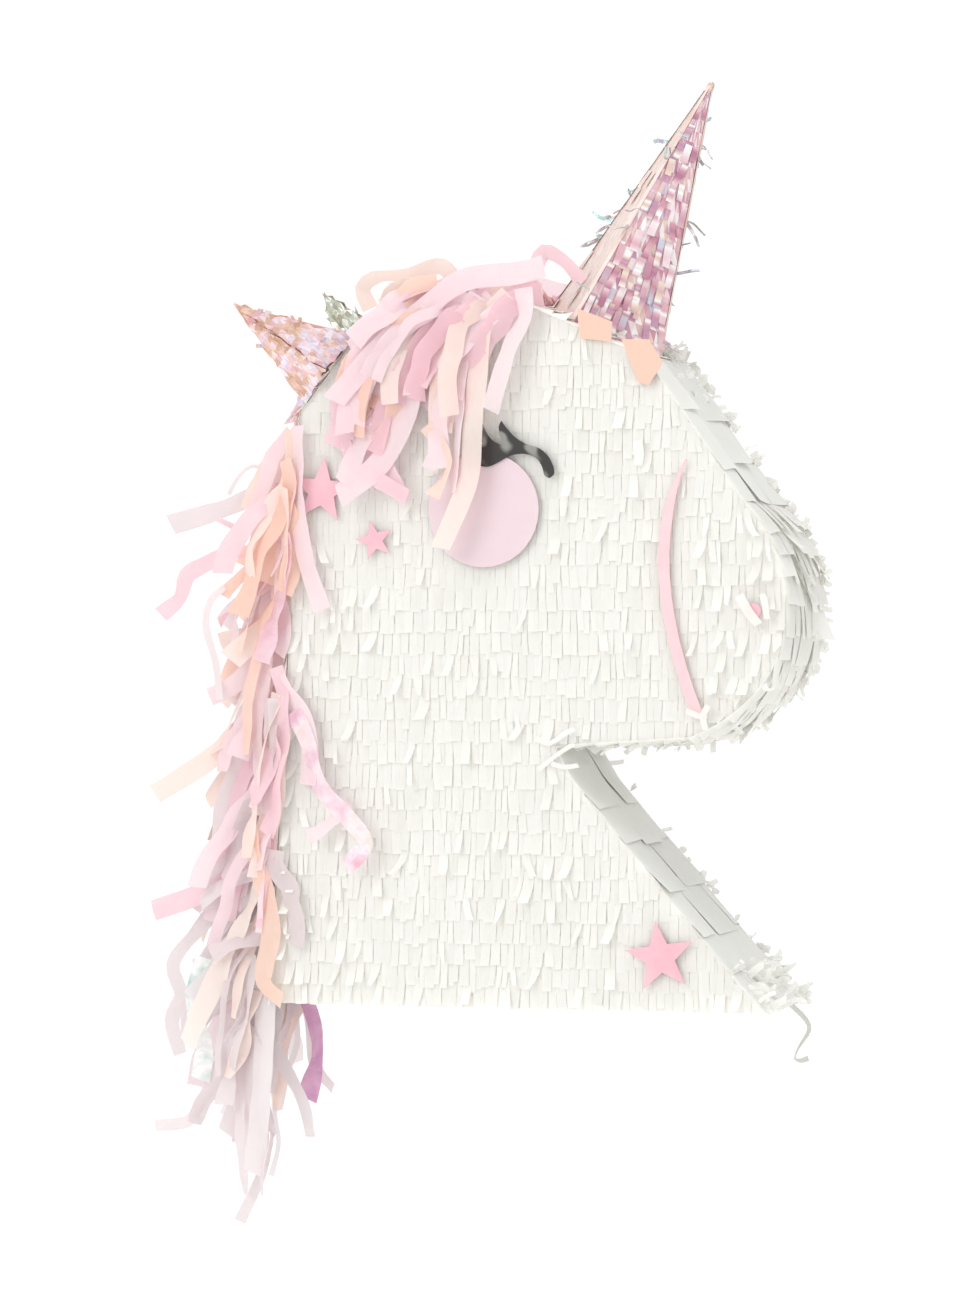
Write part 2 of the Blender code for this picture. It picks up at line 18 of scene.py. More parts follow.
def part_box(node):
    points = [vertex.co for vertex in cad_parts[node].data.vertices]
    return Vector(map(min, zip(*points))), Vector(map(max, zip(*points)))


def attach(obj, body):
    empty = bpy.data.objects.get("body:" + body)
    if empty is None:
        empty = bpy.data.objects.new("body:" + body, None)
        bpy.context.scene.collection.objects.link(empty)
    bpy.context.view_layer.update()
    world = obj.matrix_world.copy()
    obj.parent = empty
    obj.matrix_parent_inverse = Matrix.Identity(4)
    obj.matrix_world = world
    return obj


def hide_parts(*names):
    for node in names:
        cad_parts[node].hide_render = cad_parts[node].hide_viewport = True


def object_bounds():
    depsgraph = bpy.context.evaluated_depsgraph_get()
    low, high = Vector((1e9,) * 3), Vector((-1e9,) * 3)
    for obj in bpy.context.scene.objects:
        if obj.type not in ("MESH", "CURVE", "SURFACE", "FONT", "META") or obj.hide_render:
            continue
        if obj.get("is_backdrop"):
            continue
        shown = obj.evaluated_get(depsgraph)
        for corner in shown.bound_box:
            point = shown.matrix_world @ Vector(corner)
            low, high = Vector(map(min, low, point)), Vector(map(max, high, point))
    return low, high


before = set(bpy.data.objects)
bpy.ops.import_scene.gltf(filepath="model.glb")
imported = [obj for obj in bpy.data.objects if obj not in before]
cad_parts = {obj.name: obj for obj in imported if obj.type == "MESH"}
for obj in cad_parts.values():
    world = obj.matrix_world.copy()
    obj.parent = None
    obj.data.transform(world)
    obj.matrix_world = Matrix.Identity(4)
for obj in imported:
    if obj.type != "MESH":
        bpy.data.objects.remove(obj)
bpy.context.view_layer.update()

log = logging.getLogger("pinata")
Colour = tuple[float, float, float, float]
Share = tuple[float, float]
Box = tuple[float, float, float, float]
MM = 0.001
HEAD_WIDTH = 0.290  # the head's own width and height, which set what a share of its width is
HEAD_HEIGHT = 0.380
SQUARE_ON = 0.9  # how square to -Y a face of the panel has to look to count as its near face
WHITE = (1, 1, 1, 1)


# ---------------------------------------------------------------------------------------------------------
# Materials
# ---------------------------------------------------------------------------------------------------------
def linear(hex_colour: str) -> Colour:
    """Turns an sRGB hex colour into a linear one.

    Args:
        hex_colour: Six hex digits.

    Returns:
        Red, green, blue and an alpha of 1.
    """
    channels = [int(hex_colour[i : i + 2], 16) / 255 for i in (0, 2, 4)]
    red, green, blue = (c / 12.92 if c <= 0.04045 else ((c + 0.055) / 1.055) ** 2.4 for c in channels)
    return red, green, blue, 1.0


def add(
    tree: bpy.types.NodeTree, kind: str, inputs: dict | None = None, **settings: object
) -> bpy.types.Node:
    """Adds a node with its settings and links.

    Args:
        tree: The tree that it goes in.
        kind: Its type.
        inputs: For a socket's name or number, the value it holds or the output that it is linked to.
        **settings: The node's own properties.

    Returns:
        The new node.
    """
    made = tree.nodes.new(kind)
    for name, value in settings.items():
        setattr(made, name, value)
    for key, value in (inputs or {}).items():
        if isinstance(value, bpy.types.NodeSocket):
            tree.links.new(value, made.inputs[key])
        else:
            made.inputs[key].default_value = value
    return made


@dataclass(frozen=True)
class Finish:
    """A material, made the first time that it is asked for."""

    name: str

    def material(self) -> bpy.types.Material:
        """Gives the material.

        Returns:
            The material of this finish's name.
        """
        if self.name in bpy.data.materials:
            return bpy.data.materials[self.name]
        made = bpy.data.materials.new(self.name)
        made.use_nodes = True
        made.node_tree.nodes.clear()
        surface = self.surface(made.node_tree)
        add(made.node_tree, "ShaderNodeOutputMaterial", {"Surface": surface})
        return made

    def surface(self, tree: bpy.types.NodeTree) -> bpy.types.NodeSocket:
        """Builds the shader.

        Args:
            tree: The material's tree.

        Returns:
            The shader's output.
        """
        raise NotImplementedError


def solid_grain(tree: bpy.types.NodeTree) -> bpy.types.NodeSocket:
    """Gives places in a solid part, in mm.

    Args:
        tree: The material's tree.

    Returns:
        The place of each point.
    """
    place = add(tree, "ShaderNodeTexCoord").outputs["Object"]
    return add(tree, "ShaderNodeMapping", {"Vector": place, "Scale": (1 / MM,) * 3}).outputs[0]


def spread_tone(
    tree: bpy.types.NodeTree, grain: bpy.types.NodeSocket, size_mm: float, reach: float
) -> bpy.types.NodeSocket:
    """Adds a soft mottle to each strip's own tone.

    Args:
        tree: The material's tree.
        grain: Places on the flat strip, in mm.
        size_mm: How wide one patch of the mottle is.
        reach: How far it moves the tone either way.

    Returns:
        The tone, from 0 to 1.
    """
    tone = add(tree, "ShaderNodeAttribute", attribute_name="tone")
    patch = add(tree, "ShaderNodeTexNoise", {"Vector": grain, "Scale": 1 / size_mm, "Detail": 2.0})
    spread = {0: patch.outputs[0], 1: 2 * reach, 2: -reach}
    shift = add(tree, "ShaderNodeMath", spread, operation="MULTIPLY_ADD")
    both = {0: tone.outputs["Fac"], 1: shift.outputs[0]}
    return add(tree, "ShaderNodeMath", both, operation="ADD", use_clamp=True).outputs[0]


@dataclass(frozen=True)
class TissuePaper(Finish):
    """Machine-glazed tissue paper, cut into strips.

    It is matt and so thin that light comes through it, so strips over white look paler and folds look deeper.
    Soft crinkles about 4 mm apart run along each strip.
    """

    light: str
    shade: str
    glow: float = 0.35
    crinkle_mm: float = 4.0
    patch_mm: float = 9.0
    reach: float = 0.22

    def surface(self, tree: bpy.types.NodeTree) -> bpy.types.NodeSocket:
        """Builds the shader.

        Args:
            tree: The material's tree.

        Returns:
            The shader's output.
        """
        grain = add(tree, "ShaderNodeAttribute", attribute_name="grain").outputs["Vector"]
        tone = spread_tone(tree, grain, self.patch_mm, self.reach)
        ends = {0: tone, 6: linear(self.light), 7: linear(self.shade)}
        colour = add(tree, "ShaderNodeMix", ends, data_type="RGBA").outputs[2]
        stretched = add(tree, "ShaderNodeMapping", {"Vector": grain, "Scale": (1.0, 0.35, 1.0)})
        flat = stretched.outputs[0]
        crinkle = {"Vector": flat, "Scale": 1 / self.crinkle_mm, "Detail": 3.0, "Roughness": 0.55}
        height = add(tree, "ShaderNodeTexNoise", crinkle).outputs[0]
        dents = {"Height": height, "Strength": 0.5, "Distance": 0.6 * MM}
        bump = add(tree, "ShaderNodeBump", dents).outputs[0]
        paper = {"Base Color": colour, "Roughness": 0.82, "Specular IOR Level": 0.25, "Normal": bump}
        lit = add(tree, "ShaderNodeBsdfPrincipled", paper).outputs[0]
        through = add(tree, "ShaderNodeBsdfTranslucent", {"Color": colour, "Normal": bump}).outputs[0]
        return add(tree, "ShaderNodeMixShader", {0: self.glow, 1: lit, 2: through}).outputs[0]


@dataclass(frozen=True)
class IridescentFilm(Finish):
    """Coextruded iridescent film, cut into strips.

    Each strip's colour is partly the film's tint and partly painted reflection; white stops are painted
    glints.
    """

    palette: tuple[str, ...]
    roughness: float = 0.16
    patch_mm: float = 5.0
    reach: float = 0.35
    metallic: float = 0.2
    glow: float = 0.0
    ripple_mm: float = 2.5

    def surface(self, tree: bpy.types.NodeTree) -> bpy.types.NodeSocket:
        """Builds the shader.

        Args:
            tree: The material's tree.

        Returns:
            The shader's output.
        """
        grain = add(tree, "ShaderNodeAttribute", attribute_name="grain").outputs["Vector"]
        tone = spread_tone(tree, grain, self.patch_mm, self.reach)
        ramp = add(tree, "ShaderNodeValToRGB", {0: tone})
        stops = ramp.color_ramp.elements
        for i, colour in enumerate(self.palette):
            place = i / (len(self.palette) - 1)
            stop = stops[0] if i == 0 else stops[-1] if i == len(self.palette) - 1 else stops.new(place)
            stop.position = place
            stop.color = linear(colour)
        ripple = {"Vector": grain, "Scale": 1 / self.ripple_mm, "Detail": 1.0}
        height = add(tree, "ShaderNodeTexNoise", ripple).outputs[0]
        dents = {"Height": height, "Strength": 0.6, "Distance": 0.5 * MM}
        bump = add(tree, "ShaderNodeBump", dents).outputs[0]
        film = {
            "Base Color": ramp.outputs[0], "Metallic": self.metallic, "Roughness": self.roughness,
            "Normal": bump, "Coat Weight": 0.6, "Coat Roughness": 0.08,
        }
        shine = add(tree, "ShaderNodeBsdfPrincipled", film).outputs[0]
        through = add(tree, "ShaderNodeBsdfTranslucent", {"Color": ramp.outputs[0]}).outputs[0]
        return add(tree, "ShaderNodeMixShader", {0: self.glow, 1: shine, 2: through}).outputs[0]


@dataclass(frozen=True)
class PressedCard(Finish):
    """Uncoated greyboard, pressed and die-cut: matt, with short fibres and a faint cloudiness."""

    light: str
    shade: str
    roughness: float = 0.88
    fibre_mm: float = 1.2
    cloud_mm: float = 14.0

    def surface(self, tree: bpy.types.NodeTree) -> bpy.types.NodeSocket:
        """Builds the shader.

        Args:
            tree: The material's tree.

        Returns:
            The shader's output.
        """
        grain = solid_grain(tree)
        clouds = {"Vector": grain, "Scale": 1 / self.cloud_mm, "Detail": 3.0}
        cloud = add(tree, "ShaderNodeTexNoise", clouds).outputs[0]
        ends = {0: cloud, 6: linear(self.light), 7: linear(self.shade)}
        colour = add(tree, "ShaderNodeMix", ends, data_type="RGBA").outputs[2]
        fibres = {"Vector": grain, "Scale": 1 / self.fibre_mm, "Detail": 4.0, "Distortion": 1.2}
        height = add(tree, "ShaderNodeTexNoise", fibres).outputs[0]
        dents = {"Height": height, "Strength": 0.35, "Distance": 0.2 * MM}
        bump = add(tree, "ShaderNodeBump", dents).outputs[0]
        card = {"Base Color": colour, "Roughness": self.roughness, "Specular IOR Level": 0.3, "Normal": bump}
        return add(tree, "ShaderNodeBsdfPrincipled", card).outputs[0]


@dataclass(frozen=True)
class GlossFoil(Finish):
    """Black hot-stamping foil on paper: deep black, with broad soft grey bands of painted sheen where it
    waves.
    """

    dark: str
    sheen: str
    band_mm: float = 9.0

    def surface(self, tree: bpy.types.NodeTree) -> bpy.types.NodeSocket:
        """Builds the shader.

        Args:
            tree: The material's tree.

        Returns:
            The shader's output.
        """
        grain = add(tree, "ShaderNodeAttribute", attribute_name="grain").outputs["Vector"]
        bands = add(tree, "ShaderNodeTexNoise", {"Vector": grain, "Scale": 1 / self.band_mm, "Detail": 0.0})
        edge = {0: bands.outputs[0], 1: 0.5, 2: 0.68}
        sharper = add(tree, "ShaderNodeMapRange", edge, interpolation_type="SMOOTHSTEP")
        # the grey bands are painted sheen: reflections painted into the colour, over the same waves as the
        # bump
        ends = {0: sharper.outputs[0], 6: linear(self.dark), 7: linear(self.sheen)}
        colour = add(tree, "ShaderNodeMix", ends, data_type="RGBA").outputs[2]
        dents = {"Height": bands.outputs[0], "Strength": 0.6, "Distance": 0.6 * MM}
        bump = add(tree, "ShaderNodeBump", dents)
        foil = {"Base Color": colour, "Roughness": 0.3, "Coat Weight": 0.3, "Normal": bump.outputs[0]}
        return add(tree, "ShaderNodeBsdfPrincipled", foil).outputs[0]


@dataclass(frozen=True)
class DrawnSteel(Finish):
    """Galvanised steel wire, drawn: a bright metal with faint lines and dull patches of zinc."""

    bright: str = "C9CACB"
    dull: str = "9A9C9E"
    zinc_mm: float = 1.5

    def surface(self, tree: bpy.types.NodeTree) -> bpy.types.NodeSocket:
        """Builds the shader.

        Args:
            tree: The material's tree.

        Returns:
            The shader's output.
        """
        grain = solid_grain(tree)
        patches = {"Vector": grain, "Scale": 1 / self.zinc_mm, "Detail": 3.0}
        zinc = add(tree, "ShaderNodeTexNoise", patches).outputs[0]
        ends = {0: zinc, 6: linear(self.bright), 7: linear(self.dull)}
        colour = add(tree, "ShaderNodeMix", ends, data_type="RGBA").outputs[2]
        rough = add(tree, "ShaderNodeMapRange", {0: zinc, 3: 0.25, 4: 0.5}).outputs[0]
        dents = {"Height": zinc, "Strength": 0.2, "Distance": 0.05 * MM}
        bump = add(tree, "ShaderNodeBump", dents).outputs[0]
        steel = {"Base Color": colour, "Metallic": 1.0, "Roughness": rough, "Normal": bump}
        return add(tree, "ShaderNodeBsdfPrincipled", steel).outputs[0]


@dataclass(frozen=True)
class WovenWebbing(Finish):
    """Polyester webbing, plain woven.

    The eye sees crossed threads. They are drawn 0.9 mm apart, coarser than real ones, so that they show.
    """

    light: str = "EFEDE7"
    shade: str = "CFCBC2"
    thread_mm: float = 0.9

    def surface(self, tree: bpy.types.NodeTree) -> bpy.types.NodeSocket:
        """Builds the shader.

        Args:
            tree: The material's tree.

        Returns:
            The shader's output.
        """
        grain = solid_grain(tree)
        thread = {"Vector": grain, "Scale": math.tau / (20 * self.thread_mm)}
        weft, warp = (add(tree, "ShaderNodeTexWave", thread, bands_direction=way) for way in ("X", "Y"))
        pair = {0: weft.outputs[1], 1: warp.outputs[1]}
        weave = add(tree, "ShaderNodeMath", pair, operation="MULTIPLY").outputs[0]
        # darker where the weave is low, which paints shade into the gaps between the threads
        ends = {0: weave, 6: linear(self.shade), 7: linear(self.light)}
        colour = add(tree, "ShaderNodeMix", ends, data_type="RGBA").outputs[2]
        dents = {"Height": weave, "Strength": 0.7, "Distance": 0.2 * MM}
        bump = add(tree, "ShaderNodeBump", dents).outputs[0]
        cloth = {"Base Color": colour, "Roughness": 0.8, "Sheen Weight": 0.3, "Normal": bump}
        return add(tree, "ShaderNodeBsdfPrincipled", cloth).outputs[0]


@dataclass(frozen=True)
class FloorPaint(Finish):
    """Matt white floor paint.

    The camera sees it plain white, so no shadow shows on it, and it lights the object as dimmer paint would.
    """

    paint: str = "F2F2F0"
    glow: float = 0.24
    seen_white: float = 1.05

    def surface(self, tree: bpy.types.NodeTree) -> bpy.types.NodeSocket:
        """Builds the shader.

        Args:
            tree: The material's tree.

        Returns:
            The shader's output.
        """
        seen = add(tree, "ShaderNodeLightPath").outputs["Is Camera Ray"]
        coat = {"Base Color": linear(self.paint), "Roughness": 0.9, "Emission Color": WHITE}
        coat["Emission Strength"] = self.glow
        matt = add(tree, "ShaderNodeBsdfPrincipled", coat).outputs[0]
        white = add(tree, "ShaderNodeEmission", {"Color": WHITE, "Strength": self.seen_white}).outputs[0]
        return add(tree, "ShaderNodeMixShader", {0: seen, 1: matt, 2: white}).outputs[0]


WHITE_TISSUE = TissuePaper("white_tissue_paper", "FAF9F5", "F4F3EE", 0.26)
SHEET_TISSUE = TissuePaper("white_tissue_sheet", "FAFAF6", "EEEEE9", 0.15, 9.0)
# a grey copy of the white tissue for the chest dangle: painted shade
SHADED_WHITE_TISSUE = TissuePaper("white_tissue_frayed_end", "DEDEDA", "C8C8C3", 0.1)
WHITE_CARD = PressedCard("white_greyboard", "F6F5F1", "ECEAE4")
PEACH_CARD = PressedCard("peach_card", "F4CDC1", "EFBEB0", 0.8)
PINK_PAPER = PressedCard("pink_cut_paper", "F0C8D0", "E6A9B7", 0.62, 0.9)
CHEEK_PAPER = PressedCard("blush_glazed_paper", "E5D4D9", "DEC7CE", 0.5, 12.0)
HALTER_PAPER = PressedCard("pink_band_paper", "FAD3D6", "F6C1C7", 0.62, 0.9)
LASH_FOIL = GlossFoil("black_stamped_foil", "2B2726", "8E8E88")
# the white and near-white stops in the film palettes below are painted glints
HORN_FRONT_FILM = IridescentFilm(
    "iridescent_film_magenta",
    ("B77B97", "D89EAD", "EAC8CF", "FCFCFC", "DEB1BB", "C390AE", "ECD0C0", "FCFCFC", "CD8C9D", "D0D5E4"),
    0.2, 14.0, 0.10,
)
HORN_SIDE_FILM = IridescentFilm(
    "iridescent_film_peach", ("E6CBBF", "EBD5CC", "E3CAC1", "F0E2DC", "DFBEB2"), 0.4, 18.0, 0.15, 0.0
)
# a darker, greyer copy of the horn film for the face on the right: painted shade
HORN_SHADED_FILM = IridescentFilm(
    "iridescent_film_smoke", ("C0AEA8", "DDCBC8", "B5A6A4", "EBE1E0", "CDBFC3"), 0.25, 14.0, 0.15
)
EAR_FILM = IridescentFilm(
    "iridescent_film_gold",
    ("CC9F89", "E5C1B0", "D7B197", "EBCCC0", "E2AEB6", "F5E8E6", "E5BEC9", "F1E8EE", "D5C5E1", "EEE6EE"),
    0.3, 10.0, 0.06, 0.1,
)
FAR_EAR_FILM = IridescentFilm(
    "iridescent_film_mint",
    ("A3A18C", "CFD8CC", "F4F7F2", "BFBDA8", "B4CFC4", "E9E2CE", "D8C2BA"),
    0.2, 10.0, 0.06,
)
STRAY_FILM = IridescentFilm(
    "iridescent_film_lilac", ("8F898F", "B7B4C4", "A9D8CE", "C9B9C4", "9A8F88", "E4DDE6")
)


class Strip(Enum):
    """What a streamer is cut from, and the material slot of the record that it belongs to."""

    BLUSH = (TissuePaper("blush_tissue_paper", "FEF1F4", "FBE2E8", 0.4), "pink_tissue")
    ROSE = (TissuePaper("rose_tissue_paper", "FCE4EA", "F6CCD6", 0.38), "pink_tissue")
    PEACH = (TissuePaper("peach_tissue_paper", "FFF4EE", "FCE6DC", 0.4), "peach_tissue")
    APRICOT = (TissuePaper("apricot_tissue_paper", "FEE9DE", "FAD0BE", 0.38), "peach_tissue")
    MAUVE = (TissuePaper("mauve_tissue_paper", "F4EBEC", "E5D9DB", 0.4), "mauve_tissue")
    PALE = (TissuePaper("pale_lilac_tissue_paper", "F5EFF0", "E9E0E2", 0.4), "mauve_tissue")
    # the streamer films' white and near-white stops are painted glints too
    PINK_FILM = (
        IridescentFilm(
            "iridescent_streamer_pink",
            ("F2C9D6", "F9E0E9", "EFBAD2", "FDF2F6", "F6DCCB", "DDA9D6"),
            0.2, 14.0, 0.35, 0.1, 0.35,
        ),
        "iridescent_film",
    )
    MINT_FILM = (
        IridescentFilm(
            "iridescent_streamer_mint",
            ("D8E6DE", "FFFFFF", "B9DDD2", "C9C49E", "E9D9E2", "B9C7BE"),
            0.2, 12.0, 0.35, 0.1, 0.35,
        ),
        "iridescent_film",
    )
    VIOLET_FILM = (
        IridescentFilm(
            "iridescent_streamer_violet",
            ("DBA3CC", "E9BBD8", "D093C2", "F0CDE2"),
            0.25, 14.0, 0.35, 0.1, 0.4,
        ),
        "iridescent_film",
    )


# ---------------------------------------------------------------------------------------------------------
# Meshes
# ---------------------------------------------------------------------------------------------------------
@dataclass
class Draft:
    """Grids of points gathered for one mesh, each point with a tone and a place on its flat strip."""

    points: list[Vector] = field(default_factory=list)
    faces: list[tuple[int, ...]] = field(default_factory=list)
    tones: list[float] = field(default_factory=list)
    grains: list[tuple[float, float, float]] = field(default_factory=list)

    def grid(self, rows: Sequence[Sequence[Vector]], tones: Sequence[float], seed: float) -> None:
        """Adds a strip of quads.

        Args:
            rows: The points across the strip, row by row along it.
            tones: One tone for each row.
            seed: A number that sets this strip's pattern apart from its neighbours'.
        """
        first, across, along = len(self.points), len(rows[0]), 0.0
        for i, (row, tone) in enumerate(zip(rows, tones)):
            if i:
                along += (row[0] - rows[i - 1][0]).length / MM
            for j, point in enumerate(row):
                self.points.append(point)
                self.tones.append(tone)
                self.grains.append(((point - row[0]).length / MM, along, 61 * seed))
        for i in range(len(rows) - 1):
            for j in range(across - 1):
                corner = first + i * across + j
                self.faces.append((corner, corner + 1, corner + across + 1, corner + across))

    def facets(self, rows: Sequence[Sequence[Vector]], tone: Callable[[Vector], float]) -> None:
        """Adds a sheet as flat facets, each with one tone.

        Args:
            rows: The points row by row, every row as long as the one above it or one longer.
            tone: Gives a facet's tone from its middle.
        """
        for above, below in zip(rows, rows[1:]):
            cells = [(below[k], below[k + 1], above[min(k, len(above) - 1)]) for k in range(len(below) - 1)]
            cells += [(above[k], below[k + 1], above[k + 1]) for k in range(len(above) - 1)]
            for cell in cells:
                first = len(self.points)
                shade = min(1.0, max(0.0, tone(sum(cell, Vector()) / 3)))
                self.points += [point.copy() for point in cell]
                self.tones += [shade] * 3
                self.grains += [(point.x / MM, point.z / MM, point.y / MM) for point in cell]
                self.faces.append((first, first + 1, first + 2))

    def piece(
        self,
        name: str,
        finish: Finish,
        slot: str,
        body: str = "shell",
        stands_for: Sequence[str] = (),
        smooth: bool = True,
    ) -> bpy.types.Object:
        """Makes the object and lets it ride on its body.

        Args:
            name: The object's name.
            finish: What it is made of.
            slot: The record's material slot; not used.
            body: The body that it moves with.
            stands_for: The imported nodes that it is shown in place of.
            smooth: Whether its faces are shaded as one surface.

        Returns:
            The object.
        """
        mesh = bpy.data.meshes.new(name)
        mesh.from_pydata(self.points, [], self.faces)
        mesh.polygons.foreach_set("use_smooth", [smooth] * len(mesh.polygons))
        mesh.attributes.new("tone", "FLOAT", "POINT").data.foreach_set("value", self.tones)
        flat = [number for grain in self.grains for number in grain]
        mesh.attributes.new("grain", "FLOAT_VECTOR", "POINT").data.foreach_set("vector", flat)
        mesh.materials.append(finish.material())
        made = bpy.data.objects.new(name, mesh)
        bpy.context.scene.collection.objects.link(made)
        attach(made, body)
        if stands_for:
            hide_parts(*stands_for)
        log.info("%s: %d faces on %s", name, len(self.faces), body)
        return made


def through(points: Sequence[Vector], step: float) -> list[Vector]:
    """Draws a smooth curve through every point (centripetal Catmull-Rom).

    Args:
        points: The points, in order.
        step: About how far apart the curve is read.

    Returns:
        Points along the curve, the given ones among them.
    """
    ends = [2 * points[0] - points[1], *points, 2 * points[-1] - points[-2]]
    curve: list[Vector] = []
    for a, b, c, d in zip(ends, ends[1:], ends[2:], ends[3:]):
        t0 = 0.0
        t1 = t0 + max((b - a).length, 1e-6) ** 0.5
        t2 = t1 + max((c - b).length, 1e-6) ** 0.5
        t3 = t2 + max((d - c).length, 1e-6) ** 0.5
        count = max(2, round((c - b).length / step))
        for i in range(count):
            t = t1 + (t2 - t1) * i / count
            ab = a.lerp(b, (t - t0) / (t1 - t0))
            bc = b.lerp(c, (t - t1) / (t2 - t1))
            cd = c.lerp(d, (t - t2) / (t3 - t2))
            before = ab.lerp(bc, (t - t0) / (t2 - t0))
            after = bc.lerp(cd, (t - t1) / (t3 - t1))
            curve.append(before.lerp(after, (t - t1) / (t2 - t1)))
    return [*curve, points[-1]]


class Corner(Enum):
    """The corners of the head's side outline, clockwise from the base's back one, as shares."""

    BASE = (0.0, 0.0)
    NAPE = (0.060, 0.851)
    POLL = (0.181, 0.967)
    CROWN = (0.500, 1.0)
    BROW = (0.736, 0.920)
    NOSE = (0.918, 0.718)
    CHIN = (0.819, 0.385)
    JAW = (0.558, 0.373)
    CHEST = (0.957, 0.0)


class HeadProfile:
    """The side outline of the card panels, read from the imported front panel."""

    def __init__(self, node: bpy.types.Object) -> None:
        """Reads the outline.

        Args:
            node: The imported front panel, whose near face has the outline.
        """
        mesh, directed = node.data, set()
        for polygon in mesh.polygons:
            if polygon.normal.y < -SQUARE_ON:
                corners = [mesh.vertices[i].co for i in polygon.vertices]
                spots = [(round(corner.x, 6), round(corner.z, 6)) for corner in corners]
                for a, b in zip(spots, spots[1:] + spots[:1]):
                    if (b, a) in directed:
                        directed.remove((b, a))
                    else:
                        directed.add((a, b))
        after = dict(directed)
        start = min(after)
        loop = [start]
        while after[loop[-1]] != start:
            loop.append(after[loop[-1]])
        area = sum(a[0] * b[1] - b[0] * a[1] for a, b in zip(loop, loop[1:] + loop[:1]))
        self.loop = loop[::-1] if area > 0 else loop
        self.left = min(x for x, _ in loop)
        self.base = min(z for _, z in loop)
        self.height = max(z for _, z in loop) - self.base
        self.width = self.height * HEAD_WIDTH / HEAD_HEIGHT
        self.half_depth = -min(v.co.y for v in mesh.vertices)

    def at(self, share: Share) -> tuple[float, float]:
        """Where a place on the side view is, in X and Z."""
        return self.left + share[0] * self.width, self.base + share[1] * self.height

    def run(self, start: Corner, end: Corner) -> list[tuple[float, float]]:
        """Follows the outline clockwise.

        Args:
            start: The corner where it starts.
            end: The corner where it ends.

        Returns:
            The outline's points from one to the other.
        """
        marks = []
        for corner in (start, end):
            x, z = self.at(corner.value)
            marks.append(min(range(len(self.loop)), key=lambda i: math.dist(self.loop[i], (x, z))))
        first, last = marks
        count = (last - first) % len(self.loop)
        return [self.loop[(first + i) % len(self.loop)] for i in range(count + 1)]

    def span(self, x: float, z: float) -> tuple[float, float] | None:
        """Finds how far up and down the head goes at one place.

        Args:
            x: Where the upright line stands.
            z: A height on it.

        Returns:
            The lowest and highest point of the head around z, or None outside it.
        """
        crossings = []
        for (x0, z0), (x1, z1) in zip(self.loop, self.loop[1:] + self.loop[:1]):
            if (x0 <= x) != (x1 <= x):
                crossings.append(z0 + (z1 - z0) * (x - x0) / (x1 - x0))
        crossings.sort()
        for low, high in zip(crossings[::2], crossings[1::2]):
            if low <= z <= high:
                return low, high
        return None


@dataclass
class StripStyle:
    """How cut fringe hangs: sizes in metres, and bends in radians over a strip's whole length."""

    pitch: float = 12 * MM
    length: float = 17.5 * MM
    width: float = 4.3 * MM
    tilt: float = 0.013
    bend: float = 0.04
    wild: float = 0.10
    wild_bend: float = 0.9
    sway: float = 0.7 * MM
    steps: int = 4
    ripple: float = 0.0
    root_lift: float = 0.15 * MM
    least_lift: float = 0.1 * MM
    crown: float = 0.25 * MM
    stirred_from: float = 2.6
    stirred_bend: float = 1.4


class Fringe:
    """Rows of cut strips on a surface, which each sub-class says where it is."""

    def __init__(self, style: StripStyle, seed: int) -> None:
        """Sets the style.

        Args:
            style: How the strips hang.
            seed: What sets this fringe's strips apart.
        """
        self.style = style
        self.rng = random.Random(seed)
        self.draft = Draft()

    def place(self, across: float, down: float, lift: float) -> Vector:
        """Gives a point on the surface.

        Args:
            across: How far along a row.
            down: How far square to the rows.
            lift: How far off the surface.

        Returns:
            The point.
        """
        raise NotImplementedError

    def strip(
        self,
        left: float,
        right: float,
        top: Sequence[float],
        bottom: Sequence[float],
        calm: float,
        stir: float = 1.0,
    ) -> None:
        """Adds one strip, flat at its root and lifted towards its end.

        Args:
            left: Its left side at the root.
            right: Its right side.
            top: Where it starts, at its left and right sides.
            bottom: Where it would end if it lay flat.
            calm: From 0, where it has to lie flat, to 1.
            stir: How much more often than usual it stands off.
        """
        style, rng = self.style, self.rng
        wild = rng.random() < style.wild * calm * stir
        if wild:
            more = style.stirred_bend if stir > style.stirred_from else 1.0
            bend = rng.uniform(0.35, 1.0) * style.wild_bend * more
        else:
            bend = rng.gauss(style.bend, style.bend * 0.45)
        bend *= max(calm, 0.25)
        tilt = style.tilt + abs(rng.gauss(0, 0.016)) * calm
        sway = rng.gauss(0, style.sway * (3.5 if wild else 1)) * calm
        twist = rng.gauss(0, 0.28 if wild else 0.07) * calm
        narrow = rng.uniform(0.25, 0.8) if wild and rng.random() < 0.5 else rng.uniform(0.93, 1.0)
        shift = rng.uniform(0, style.root_lift)
        rows, tones = [], []
        base_tone = min(1, max(0, rng.gauss(0.3, 0.22)))
        run, rise = 0.0, style.root_lift + shift
        sides = ((-1, top[0], bottom[0]), (0, sum(top) / 2, sum(bottom) / 2), (1, top[1], bottom[1]))
        for i in range(style.steps + 1):
            t = i / style.steps
            if i:
                middle = (i - 0.5) / style.steps
                angle = tilt + bend * middle**1.4
                run += math.cos(angle) / style.steps
                rise += math.sin(angle) / style.steps * abs(bottom[0] - top[0] + bottom[1] - top[1]) / 2
            half = (right - left) / 2 * (1 - (1 - narrow) * t * t)
            middle_x = (left + right) / 2 + sway * t * t
            row = []
            for side, start, end in sides:
                across = middle_x + side * half
                down = start + (end - start) * run
                lift = rise + side * twist * half * t + (style.crown * t if side == 0 else 0)
                fold = 0.5 + noise.noise(Vector((across * 60, down * 22, 3.3))) if style.ripple else 0
                row.append(self.place(across, down, max(lift, style.least_lift) + style.ripple * fold))
            rows.append(row)
            tones.append(base_tone)
        self.draft.grid(rows, tones, rng.random())


